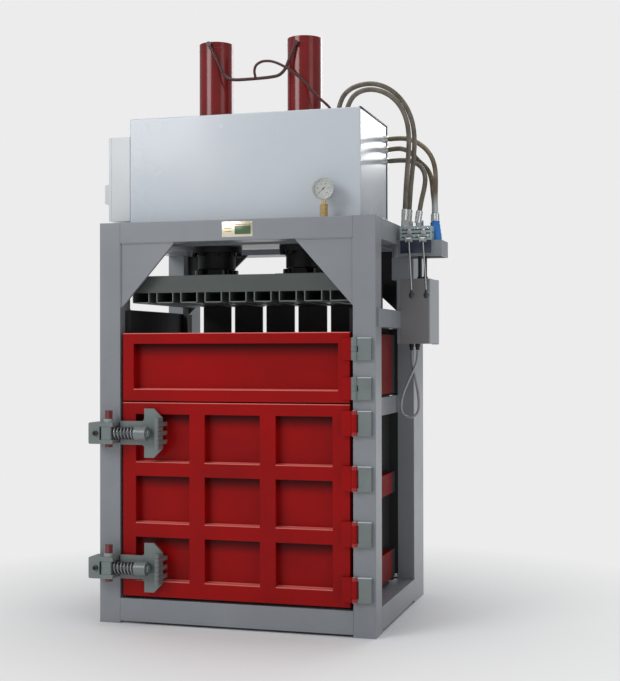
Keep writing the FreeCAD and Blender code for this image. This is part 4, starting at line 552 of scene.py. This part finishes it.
# %% The painter's list
painters_list = {
    frame_grey: ["front_posts", "rear_posts", "top_beams", "base_beams", "foot_pads", "side_rails",
                 "press_head", "valve_shelf", "equipment_bracket"],
    gusset_grey_and_painted_shade: ["corner_gussets"],
    cabinet_grey: ["cabinet_floor", "cabinet_shell", "cabinet_rear_cover"],
    box_grey: ["side_box", "side_box_door", "side_box_cowl"],
    electric_grey: ["electric_box"],
    lid_grey: ["electric_box_door"],
    door_paints["upper_door"]: ["upper_door"],
    door_paints["lower_door"]: ["lower_door"],
    wall_red_grey_and_shade: ["left_chamber_wall", "right_chamber_wall"],
    chamber_dark: ["chamber_floor", "rear_chamber_wall"],
    platen_green: ["platen"],
    platen_rim_highlight: ["platen_channels"],
    cylinder_red: ["cylinder_barrels"],
    pipe_maroon: ["oil_pipes"],
    gland_black: ["cylinder_glands", "gland_bolts"],
    rod_dark: ["piston_rods"],
    latch_grey: ["latch_forks", "upper_latch_plate", "lower_latch_plate", "upper_latch_rod",
                 "lower_latch_rod"],
    hinge_grey: ["hinge_plates"],
    bracket_grey: ["latch_brackets"],
    latch_bolt: ["latch_bolts"],
    motor_blue: ["oil_tank", "pump_motor"],
    bright_steel: ["hose_fittings", "gauge_case"],
    brass: ["gauge_stem"],
    valve_grey: ["valve_block"],
    bare_steel: ["left_lever", "right_lever", "side_box_lock"],
    black_rubber: ["conduits", "gauge_needle"],
}


def paint_node(label, material):
    mesh = nodes[label].data
    mesh.materials.clear()
    mesh.materials.append(material)
    mesh.set_sharp_from_angle(angle=math.radians(30))


for material, labels in painters_list.items():
    for label in labels:
        paint_node(label, material)

# %% [markdown]
# ## Glass
# The gauge's window is clear glass. Glass keeps plain numbers: full transmission and hardly any
# roughness, with a faint waviness in its bump.

# %% Window glass
window_glass = bpy.data.materials.new("window_glass")
window_glass.use_nodes = True
glass_tree = window_glass.node_tree
glass_shader = glass_tree.nodes["Principled BSDF"]
for label, value in (("Base Color", (0.97, 0.99, 0.99, 1)), ("Roughness", 0.02), ("IOR", 1.45),
                     ("Transmission Weight", 1.0)):
    glass_shader.inputs[label].default_value = value
glass_where = glass_tree.nodes.new("ShaderNodeTexCoord")
glass_bump = glass_tree.nodes.new("ShaderNodeBump")
glass_bump.inputs["Strength"].default_value = 0.02
glass_tree.links.new(noise(glass_tree, glass_where.outputs["Object"], 30), glass_bump.inputs["Height"])
glass_tree.links.new(glass_bump.outputs["Normal"], glass_shader.inputs["Normal"])
paint_node("gauge_glass", window_glass)
finishes = {material.name for material in painters_list} | {window_glass.name}
left_over = [
    label for label, node in nodes.items()
    if not node.hide_render and (not node.data.materials or node.data.materials[0].name not in finishes)
]
print("nodes without a finish of their own:", left_over)

# %% [markdown]
# ## Turned pieces
# A boot, a bezel or a seal ring is a profile turned about an axis. The profile is a chain of edges,
# and the spin operator turns it once round and merges the seam.

# %% Turning a profile
def turn(bm, profile, centre, axis="z", steps=32):
    """Spin a chain of (radius, height) points about an axis; a closed chain makes a ring."""
    along = {"x": Vector((1, 0, 0)), "y": Vector((0, 1, 0)), "z": Vector((0, 0, 1))}[axis]
    out = Vector((0, 0, 1)) if axis != "z" else Vector((1, 0, 0))
    verts = [bm.verts.new(centre + out * radius + along * height) for radius, height in profile]
    edges = [bm.edges.new(pair) for pair in zip(verts, verts[1:])]
    bmesh.ops.spin(bm, geom=verts + edges, cent=centre, axis=along, angle=2 * math.pi, steps=steps,
                   use_merge=True)


def ring(bm, radius, height, thickness, centre, axis="z", steps=32):
    """A flat ring with broken edges: outer radius, height along the axis and wall."""
    inner, soft = radius - thickness, min(thickness, height) * 0.25
    turn(bm, [(inner, 0.0), (radius - soft, 0.0), (radius, soft), (radius, height - soft),
              (radius - soft, height), (inner, height), (inner, 0.0)], centre, axis, steps)


# %% [markdown]
# The blue boots are moulded in one piece: a wide foot, a cone with shallow ribs, and a lip that grips
# the hose. They replace the plain cones of the CAD.

# %% Hose boots
bm = bmesh.new()
BOOT_PLACES = ((869, -14), (849, 44))
for x, y in BOOT_PLACES:
    turn(bm, [
        (0.0120, 0.0995), (0.0182, 0.0995), (0.0190, 0.0970), (0.0190, 0.0900), (0.0180, 0.0870),
        (0.0204, 0.0832),
        (0.0222, 0.0676), (0.0214, 0.0653), (0.0232, 0.0624), (0.0250, 0.0468), (0.0242, 0.0445),
        (0.0262, 0.0416),
        (0.0282, 0.0208), (0.0295, 0.0062), (0.0300, 0.0042), (0.0300, 0.0010), (0.0120, 0.0010),
    ], place(x, y, 1858))
boots = finish_piece(bm, "moulded_boots", "frame", boot_blue, angle=25)
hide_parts("hose_boots")

# %% [markdown]
# ## Springs
# A coil is a circle of wire turned about an axis while it moves along it: the same spin operator, with
# a step along the axis. Both ends are then closed, as on a cut spring.

# %% Latch springs
COIL_LENGTH, COIL_TURNS, COIL_MEAN, COIL_WIRE = 0.1044, 6, 0.0255, 0.005
COIL_INSET = 0.0051


def coil(bm, start, length, turns, mean, wire):
    steps = 32 * turns
    made = bmesh.ops.create_circle(bm, segments=12, radius=wire)
    tilt_angle = math.atan2(length / turns, 2 * math.pi * mean)
    bmesh.ops.rotate(bm, verts=made["verts"], cent=(0, 0, 0), matrix=Matrix.Rotation(tilt_angle, 3, "Y"))
    bmesh.ops.translate(bm, verts=made["verts"], vec=start + Vector((0, mean, 0)))
    edges = list({edge for vert in made["verts"] for edge in vert.link_edges})
    bmesh.ops.spin(
        bm, geom=made["verts"] + edges, cent=start, axis=(1, 0, 0), angle=2 * math.pi * turns,
        steps=steps, dvec=(length / steps, 0, 0),
    )
    bmesh.ops.holes_fill(bm, edges=[edge for edge in bm.edges if edge.is_boundary])


for label in ("upper", "lower"):
    low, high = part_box(f"{label}_latch_spring")
    bm = bmesh.new()
    start = Vector((low.x + COIL_INSET, (low.y + high.y) / 2, (low.z + high.z) / 2))
    coil(bm, start, COIL_LENGTH, COIL_TURNS, COIL_MEAN, COIL_WIRE)
    spring = finish_piece(bm, f"{label}_coiled_wire", f"{label}_latch", spring_steel,
                          angle=60)
    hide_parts(f"{label}_latch_spring")
    print(spring.name, len(spring.data.polygons), "faces")

# %% [markdown]
# ## Small blocks and bolts
# Plates, strips and screw heads are short pieces of bar. Each starts as a cube or a circle, is put in
# its place, and gets its edges bevelled, because no real edge is perfectly sharp.

# %% Bars and screw heads
def bar(bm, low, high, soft=0.0006, segments=2):
    made = bmesh.ops.create_cube(bm, size=1.0)["verts"]
    size = high - low
    bmesh.ops.scale(bm, verts=made, vec=size)
    bmesh.ops.translate(bm, verts=made, vec=(low + high) / 2)
    edges = list({edge for vert in made for edge in vert.link_edges})
    bmesh.ops.bevel(bm, geom=edges, offset=soft, segments=segments, profile=0.5, affect="EDGES",
                    material=-1)


def screw_head(bm, centre, radius, height, facing, sides=6):
    """A bolt head with a chamfered top, standing on a surface that faces along a direction."""
    before = set(bm.verts)
    made = bmesh.ops.create_circle(bm, cap_ends=True, segments=sides, radius=radius)["verts"]
    face = made[0].link_faces[0]
    raised = bmesh.ops.extrude_face_region(bm, geom=[face])["geom"]
    top = [item for item in raised if isinstance(item, bmesh.types.BMVert)]
    bmesh.ops.translate(bm, verts=top, vec=(0, 0, height))
    cap = next(item for item in raised if isinstance(item, bmesh.types.BMFace))
    bmesh.ops.bevel(bm, geom=list(cap.edges), offset=radius * 0.16, segments=2, profile=0.5,
                    affect="EDGES", material=-1)
    turned = facing.to_track_quat("Z", "Y").to_matrix().to_4x4()
    bmesh.ops.transform(bm, verts=[v for v in bm.verts if v not in before],
                        matrix=Matrix.Translation(centre) @ turned)


FRONT, REAR = Vector((0, -1, 0)), Vector((0, 1, 0))

# %% [markdown]
# ## The pressure gauge
# The case comes from the CAD. Its bezel is a turned ring, and the dial is a printed disc: the scale is
# made of thin raised ticks, and plain numbers are text turned into a mesh before it is put in place.

# %% Bezel and dial
gauge_low, gauge_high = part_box("gauge_case")
gauge_middle = Vector(((gauge_low.x + gauge_high.x) / 2, gauge_low.y, (gauge_low.z + gauge_high.z) / 2))
bm = bmesh.new()
turn(bm, [(0.0450, 0.0032), (0.0456, 0.0008), (0.0480, 0.0001), (0.0505, 0.0004), (0.0519, 0.0030),
          (0.0519, 0.0100), (0.0505, 0.0112), (0.0450, 0.0112), (0.0450, 0.0032)],
     gauge_middle, "y", 64)
finish_piece(bm, "gauge_bezel", "frame", bright_steel)

dial_white = moulded("dial_white", colour(244, 244, 240), colour(236, 236, 230), 20, 0.3, 0.4, 0.02)
dial_ink = moulded("dial_ink", colour(22, 22, 24), colour(34, 34, 36), 60, 0.4, 0.5, 0.02)
dial_middle = gauge_middle + Vector((0, 0.0078, 0))
bm = bmesh.new()
bmesh.ops.create_circle(bm, cap_ends=True, segments=64, radius=0.0455)
bmesh.ops.inset_region(bm, faces=bm.faces[:], thickness=0.0430, use_even_offset=True)
upright = Matrix.Rotation(math.pi / 2, 4, "X")
bmesh.ops.transform(bm, verts=bm.verts, matrix=Matrix.Translation(dial_middle) @ upright)
bmesh.ops.solidify(bm, geom=bm.faces[:], thickness=-0.0001)
finish_piece(bm, "gauge_dial", "frame", dial_white, smooth=False)

# %% [markdown]
# The scale sweeps 270 degrees, from lower left over the top to lower right. Every fifth tick is long
# and bold, and every second one of those carries its number.

# %% Ticks and numbers
FIRST_ANGLE, SWEEP, TICKS = 225, 270, 50


def dial_angle(share):
    """The direction of a place on the scale, from 0 at its start to 1 at its end."""
    return math.radians(FIRST_ANGLE - SWEEP * share)


def dial_point(angle, radius, depth):
    return dial_middle + Vector((math.cos(angle) * radius, -depth, math.sin(angle) * radius))


bm = bmesh.new()
for tick in range(TICKS + 1):
    angle = dial_angle(tick / TICKS)
    long = tick % 5 == 0
    inner, outer, width = (0.0340, 0.0405, 0.00055) if long else (0.0372, 0.0405, 0.00028)
    made = bmesh.ops.create_cube(bm, size=1.0)["verts"]
    bmesh.ops.scale(bm, verts=made, vec=(outer - inner, 0.0002, 2 * width))
    bmesh.ops.rotate(bm, verts=made, cent=(0, 0, 0), matrix=Matrix.Rotation(-angle, 3, "Y"))
    bmesh.ops.translate(bm, verts=made, vec=dial_point(angle, (inner + outer) / 2, 0.00012))
finish_piece(bm, "gauge_ticks", "frame", dial_ink, smooth=False)

number_meshes = []
for step in range(0, 11, 2):
    angle = dial_angle(step / 10)
    words = bpy.data.curves.new(f"number_{step}", "FONT")
    words.body = str(step * 4)
    words.size = 0.0098
    words.align_x, words.align_y = "CENTER", "CENTER"
    words.extrude = 0.0001
    holder = bpy.data.objects.new(f"number_{step}", words)
    scene.collection.objects.link(holder)
    mesh = bpy.data.meshes.new_from_object(holder)
    mesh.transform(Matrix.Translation(dial_point(angle, 0.0262, 0.00015)) @ upright)
    number_meshes.append(mesh)
    bpy.data.objects.remove(holder)
bm = bmesh.new()
for mesh in number_meshes:
    bm.from_mesh(mesh)
finish_piece(bm, "gauge_numbers", "frame", dial_ink, smooth=False)
print("dial at", [round(v, 4) for v in dial_middle])

# %% [markdown]
# ## Plate on the front beam
# The machine carries a small enamelled plate. This one is generic: a pale brass ground with a plain
# green panel and a thin amber line, on four rivets.

# %% Beam plate
plate_low, plate_high = place(-56, -559.4, 1856), place(98, -558.0, 1929)
bm = bmesh.new()
bar(bm, plate_low, plate_high, 0.0005)
plate_brass = steel("plate_brass", (0.80, 0.74, 0.58, 1), (0.70, 0.64, 0.50, 1), 0.3, 0.45)
finish_piece(bm, "beam_plate", "frame", plate_brass)
bm = bmesh.new()
bar(bm, place(8, -559.8, 1868), place(88, -559.3, 1908), 0.0002)
enamel_green = enamel("plate_green", colour(74, 104, 66), colour(64, 94, 58), 0.3, 0.4, 0.05, 20)
finish_piece(bm, "plate_panel", "frame", enamel_green)
bm = bmesh.new()
bar(bm, place(8, -559.8, 1912), place(88, -559.3, 1916), 0.0001)
bar(bm, place(-44, -559.8, 1880), place(-8, -559.3, 1884), 0.0001)
bar(bm, place(-44, -559.8, 1896), place(-8, -559.3, 1900), 0.0001)
enamel_amber = enamel("plate_amber", colour(186, 140, 60), colour(170, 126, 50), 0.3, 0.4, 0.05, 20)
finish_piece(bm, "plate_lines", "frame", enamel_amber)
bm = bmesh.new()
for x in (-50, 92):
    for z in (1862, 1923):
        screw_head(bm, place(x, -559.4, z), 0.0028, 0.0012, FRONT, 16)
finish_piece(bm, "plate_rivets", "frame", bright_steel)

# %% [markdown]
# ## Cabinet trim
# A black rubber edging runs along the right top edge of the cabinet and down its two rear corners. A
# strip is a bar with well rounded edges.

# %% Rubber edging
cabinet_low, cabinet_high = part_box("cabinet_shell")
bm = bmesh.new()
bar(bm, Vector((cabinet_high.x - 0.009, cabinet_low.y + 0.004, cabinet_high.z - 0.0075)),
    Vector((cabinet_high.x + 0.0035, cabinet_high.y + 0.002, cabinet_high.z + 0.003)), 0.0022, 3)
bar(bm, Vector((cabinet_high.x - 0.010, cabinet_high.y - 0.008, cabinet_low.z + 0.001)),
    Vector((cabinet_high.x + 0.0035, cabinet_high.y + 0.003, cabinet_high.z - 0.004)), 0.0022, 3)
bar(bm, Vector((cabinet_low.x - 0.0035, cabinet_high.y - 0.008, cabinet_low.z + 0.001)),
    Vector((cabinet_low.x + 0.010, cabinet_high.y + 0.003, cabinet_high.z - 0.004)), 0.0022, 3)
finish_piece(bm, "cabinet_edging", "frame", black_rubber)

# %% [markdown]
# The rear cover is screwed on round its edge, and a pressed hood stands over each of its slots. Hood
# and sheet are one colour; only the shadow between them shows.

# %% Rear cover: screws and louvre hoods
HOOD_ROWS, HOOD_PITCH, HOOD_REACH, HOOD_HEIGHT = 8, 0.024, 0.009, 0.011
bm = bmesh.new()
rear_low, rear_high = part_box("cabinet_rear_cover")
for step in range(7):
    x = rear_low.x + 0.03 + (rear_high.x - rear_low.x - 0.06) * step / 6
    for z in (rear_low.z + 0.02, rear_high.z - 0.02):
        screw_head(bm, Vector((x, rear_high.y, z)), 0.006, 0.004, REAR, 6)
for z in (0.30, 0.70):
    for x in (rear_low.x + 0.03, rear_high.x - 0.03):
        screw_head(bm, Vector((x, rear_high.y, rear_low.z + (rear_high.z - rear_low.z) * z)), 0.006,
                   0.004, REAR, 6)
finish_piece(bm, "cover_screws", "frame", bright_steel)

bm = bmesh.new()
for side in (-1, 1):
    for row in range(HOOD_ROWS):
        low_z = rear_high.z - 0.060 - row * HOOD_PITCH
        x = MIDDLE.x + side * 0.294
        for vert in bmesh.ops.create_grid(bm, x_segments=1, y_segments=6, size=0.5)["verts"]:
            arc = (vert.co.y + 0.5) * math.pi / 2
            vert.co = Vector((x + vert.co.x * 0.304, rear_high.y + HOOD_REACH * math.cos(arc),
                              low_z + 0.001 + HOOD_HEIGHT * math.sin(arc)))
bmesh.ops.solidify(bm, geom=bm.faces[:], thickness=0.0012)
finish_piece(bm, "louvre_hoods", "frame", cabinet_grey, angle=50)

# %% [markdown]
# ## Cylinder collars
# Each barrel is closed by a welded cap, and passes through the cabinet's roof in a rubber collar. Under
# the gland a scraper ring wipes the rod.

# %% Barrel caps, collars and scrapers
BARREL_PLACES = ((-234, -150), (234, -150))
bm = bmesh.new()
for x, y in BARREL_PLACES:
    ring(bm, 0.0868, 0.005, 0.003, place(x, y, 2837), steps=64)
finish_piece(bm, "barrel_cap_welds", "frame", cylinder_red)
bm = bmesh.new()
for x, y in BARREL_PLACES:
    turn(bm, [(0.0862, 0.0), (0.0940, 0.0), (0.0945, 0.0012), (0.0925, 0.0030), (0.0875, 0.0048),
              (0.0862, 0.0048), (0.0862, 0.0)], place(x, y, 2465), steps=64)
finish_piece(bm, "roof_collars", "frame", black_rubber)
bm = bmesh.new()
for x, y in BARREL_PLACES:
    ring(bm, 0.060, 0.004, 0.0145, place(x, y, 1726), steps=48)
finish_piece(bm, "rod_scrapers", "frame", black_rubber)

# %% [markdown]
# ## Hose ends
# A hose is crimped into its ferrule: shallow grooves show where the jaws pressed. Here each groove is
# the space between two rounded rings, set along the ferrule's own direction.

# %% Crimped ferrules
def crimp_rings(bm, end, toward, count, radius, pitch, offset):
    """Rings on a ferrule that starts at a hose's end and points away from the hose."""
    along = (end - toward).normalized()
    spun = bmesh.new()
    for index in range(count):
        ring(spun, radius, pitch * 0.62, 0.0022, Vector((0, 0, offset + index * pitch)), steps=24)
    bmesh.ops.transform(
        spun, verts=spun.verts,
        matrix=Matrix.Translation(end) @ along.to_track_quat("Z", "Y").to_matrix().to_4x4(),
    )
    mesh = bpy.data.meshes.new("rings")
    spun.to_mesh(mesh)
    spun.free()
    bm.from_mesh(mesh)
    bpy.data.meshes.remove(mesh)


FERRULE_RADIUS = 0.0172
bm = bmesh.new()
for label in ("top_hose_outer", "top_hose_inner", "side_hose_lower"):
    route = hose_routes[label]
    crimp_rings(bm, place(*route[-1]), place(*route[-2]), 5, FERRULE_RADIUS, 0.0075, 0.004)
for label in ("top_hose_outer", "top_hose_inner"):
    route = hose_routes[label]
    crimp_rings(bm, place(*route[0]), place(*route[1]), 2, FERRULE_RADIUS, 0.006, 0.001)
finish_piece(bm, "ferrule_crimps", "frame", bright_steel)

# %% [markdown]
# ## Valve block
# The valve is a stack of machined sections. Dark slots run between the sections, caps close the spools
# at the front, and bolts tie the stack together.

# %% Valve sections
valve_low, valve_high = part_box("valve_block")
front_face = place(0, -116, 0).y
bm = bmesh.new()
for z in (1872, 1890, 1908):
    bar(bm, Vector((valve_low.x + 0.006, front_face - 0.0009, z / 1000 - 0.0028)),
        Vector((valve_high.x - 0.006, front_face + 0.002, z / 1000 + 0.0028)), 0.0006)
bar(bm, Vector((valve_high.x - 0.001, front_face + 0.006, 1.8932)),
    Vector((valve_high.x + 0.0009, front_face + 0.058, 1.8988)), 0.0004)
slot_dark = moulded("slot_dark", colour(44, 52, 58), colour(58, 66, 72), 60, 0.4, 0.6)
finish_piece(bm, "valve_slots", "frame", slot_dark)
bm = bmesh.new()
for x in (757, 826):
    ring(bm, 0.013, 0.007, 0.0125, place(x, -123, 1897), "y", steps=32)
    for dx, dz in ((-24, 19), (24, 19), (-24, -19), (24, -19)):
        screw_head(bm, place(x + dx, -116, 1895 + dz), 0.0052, 0.004, FRONT)
for x, y in ((734, -10), (727, -80), (792, -40)):
    ring(bm, 0.0215, 0.003, 0.005, place(x, y, 1926), steps=32)
finish_piece(bm, "valve_caps", "frame", bright_steel)
bm = bmesh.new()
bar(bm, Vector((valve_low.x - 0.0002, front_face - 0.0012, 1.7925)),
    Vector((valve_high.x + 0.0002, front_face + 0.0002, 1.8570)), 0.0004)
lip_dark = enamel("valve_lip_navy", colour(40, 48, 66), colour(34, 41, 58), 0.3, 0.45)
finish_piece(bm, "valve_lip", "frame", lip_dark)

# %% [markdown]
# The two levers hang from the valve. Each ends in a small grey knob, turned from a profile.

# %% Lever knobs
LEVER_LENGTH = 272
for label, x, lean in (("left_lever", 757, 2.9), ("right_lever", 826, 3.7)):
    bm = bmesh.new()
    turn(bm, [(0.0001, -0.0158), (0.0070, -0.0150), (0.0125, -0.0090), (0.0146, 0.0), (0.0130, 0.0080),
              (0.0085, 0.0150), (0.0062, 0.0200), (0.0060, 0.0260), (0.0040, 0.0270)],
              Vector((0, 0, 0)), steps=32)
    lean = math.radians(lean)
    knob = place(x + LEVER_LENGTH * math.sin(lean), -134, 1858 - LEVER_LENGTH * math.cos(lean))
    bmesh.ops.transform(bm, verts=bm.verts,
                        matrix=Matrix.Translation(knob) @ Matrix.Rotation(-lean, 4, "Y"))
    finish_piece(bm, f"{label}_knob", label, knob_black)

# %% [markdown]
# ## Weld beads
# Posts, beams and gussets are welded. A bead is a row of overlapping drops, so a tube that swells and
# narrows a little, laid into the corner, reads as one at any distance.

# %% Laying a bead
BEAD_RADIUS = 0.0042


def bead(bm, start, end, step=0.006):
    along = end - start
    count = max(4, int(along.length / step))
    turn_to = along.to_track_quat("Z", "Y").to_matrix().to_4x4()
    loop = bmesh.ops.create_circle(bm, cap_ends=True, segments=8, radius=BEAD_RADIUS * 0.6)["verts"]
    bmesh.ops.transform(bm, verts=loop, matrix=Matrix.Translation(start) @ turn_to)
    face = loop[0].link_faces[0]
    for index in range(count):
        swell = 1.6 if index == 0 else 1.0 + (0.16 if index % 2 else -0.14)
        raised = bmesh.ops.extrude_face_region(bm, geom=[face])["geom"]
        bmesh.ops.delete(bm, geom=[face], context="FACES_ONLY")
        face = next(item for item in raised if isinstance(item, bmesh.types.BMFace))
        bmesh.ops.translate(bm, verts=face.verts, vec=along / count)
        middle = sum((vert.co for vert in face.verts), Vector()) / len(face.verts)
        bmesh.ops.scale(bm, verts=face.verts, vec=(swell, swell, swell),
                        space=Matrix.Translation(-middle))


bm = bmesh.new()
for side in (-1, 1):
    inner = side * 582
    bead(bm, place(inner, -551, 1839), place(inner - side * 276, -551, 1839))
    bead(bm, place(inner - side, -551, 1836), place(inner - side, -551, 1530))
    bead(bm, place(inner, -557, 124), place(inner, -440, 124))
    bead(bm, place(side * 584, -437, 1839), place(side * 584, 308, 1839), step=0.008)
    for level in (993, 1430):
        bead(bm, place(side * 599, -437, level), place(side * 583, -437, level))
        bead(bm, place(side * 599, -437, level + 90), place(side * 583, -437, level + 90))
        bead(bm, place(side * 597, 361, level + 2), place(side * 597, 361, level + 88))
finish_piece(bm, "frame_welds", "frame", frame_grey, angle=80)

# %% [markdown]
# ## Hinges
# Each door leaf rolls round the pin in one knuckle, with a thin washer at each end of it, and a domed
# nut closes the pin at the top.

# %% Hinge washers and pin heads
HINGES = ((222, 57.5), (476, 57.5), (730, 57.5), (984, 57.5), (1144, 51.5), (1326, 51.5))
PIN_X, PIN_Y, WASHER_MM = 592, -574, 1.8
bm = bmesh.new()
for level, half_height in HINGES:
    for z in (level + half_height, level - half_height - WASHER_MM):
        ring(bm, 0.0118, WASHER_MM / 1000, 0.0040, place(PIN_X, PIN_Y, z), steps=32)
    turn(bm, [(0.0, 0.0042), (0.0035, 0.0040), (0.0070, 0.0026), (0.0086, 0.0), (0.0, 0.0)],
         place(PIN_X, PIN_Y, level + half_height), steps=32)
finish_piece(bm, "hinge_pin_heads", "frame", bare_steel)

# %% [markdown]
# A soft seal closes the joint between the two doors. It sits on the lower door's top edge, at the back.

# %% Door seal
bm = bmesh.new()
bar(bm, place(-565, -513, 1069.8), place(565, -508.5, 1075.5), 0.0008)
finish_piece(bm, "door_seal", "lower_door", black_rubber)

# %% [markdown]
# ## The studio
# The picture was taken in front of a plain pale sweep. A flat floor that fades into the colour of the
# surroundings gives the same seamless look from every side, and still catches a soft shadow.

# %% Floor
PALE = colour(236, 236, 236)
bm = bmesh.new()
bmesh.ops.create_circle(bm, cap_ends=True, segments=64, radius=40)
mesh = bpy.data.meshes.new("studio_floor")
bm.to_mesh(mesh)
bm.free()
floor = bpy.data.objects.new("studio_floor", mesh)
scene.collection.objects.link(floor)
floor_paint = bpy.data.materials.new("studio_floor")
floor_paint.use_nodes = True
tree = floor_paint.node_tree
diffuse = tree.nodes["Principled BSDF"]
diffuse.inputs["Base Color"].default_value = (0.86, 0.86, 0.86, 1)
diffuse.inputs["Roughness"].default_value = 0.6
glow = tree.nodes.new("ShaderNodeEmission")
glow.inputs["Color"].default_value = PALE
where = tree.nodes.new("ShaderNodeTexCoord")
distance = tree.nodes.new("ShaderNodeVectorMath")
distance.operation = "LENGTH"
tree.links.new(where.outputs["Object"], distance.inputs[0])
FADE_START, FADE_END = 0.7, 2.4
fade = between(tree, distance.outputs["Value"], FADE_START, FADE_END)
mixer = tree.nodes.new("ShaderNodeMixShader")
tree.links.new(fade, mixer.inputs["Fac"])
tree.links.new(diffuse.outputs["BSDF"], mixer.inputs[1])
tree.links.new(glow.outputs["Emission"], mixer.inputs[2])
tree.links.new(mixer.outputs["Shader"], tree.nodes["Material Output"].inputs["Surface"])
mesh.materials.append(floor_paint)

# %% [markdown]
# Large soft boxes give the gentle gradients on the doors and the bright edge lines. The surroundings
# look pale to the camera, but light the machine less than they show, so that its hollows stay dark.

# %% Surroundings and soft boxes
world = bpy.data.worlds.new("studio")
scene.world = world
world.use_nodes = True
tree = world.node_tree
background = tree.nodes["Background"]
seen = tree.nodes.new("ShaderNodeBackground")
seen.inputs["Color"].default_value = PALE
background.inputs["Color"].default_value = (0.93, 0.96, 1.0, 1)
background.inputs["Strength"].default_value = 0.34
choice = tree.nodes.new("ShaderNodeMixShader")
path = tree.nodes.new("ShaderNodeLightPath")
tree.links.new(path.outputs["Is Camera Ray"], choice.inputs["Fac"])
tree.links.new(background.outputs["Background"], choice.inputs[1])
tree.links.new(seen.outputs["Background"], choice.inputs[2])
tree.links.new(choice.outputs["Shader"], tree.nodes["World Output"].inputs["Surface"])


def soft_box(name, spot, target, size, watts, tint=(1, 1, 1)):
    light = bpy.data.lights.new(name, "AREA")
    light.shape = "RECTANGLE"
    light.size, light.size_y = size
    light.energy = watts
    light.color = tint
    holder = bpy.data.objects.new(name, light)
    scene.collection.objects.link(holder)
    spot, target = Vector(spot), Vector(target)
    aim = (target - spot).to_track_quat("-Z", "Y").to_matrix().to_4x4()
    holder.matrix_world = Matrix.Translation(spot) @ aim


soft_box("key", (-3.6, -5.2, 4.6), (0, 0, 1.4), (3.2, 3.2), 170)
soft_box("fill", (5.4, -3.2, 2.6), (0, 0, 1.4), (2.6, 3.6), 34)
soft_box("top", (0.2, -0.4, 6.2), (0, 0, 1.0), (3.5, 3.5), 90)
soft_box("rear", (1.5, 5.2, 4.2), (0, 0, 1.4), (3.5, 2.5), 90)
scene.view_settings.view_transform = "Standard"
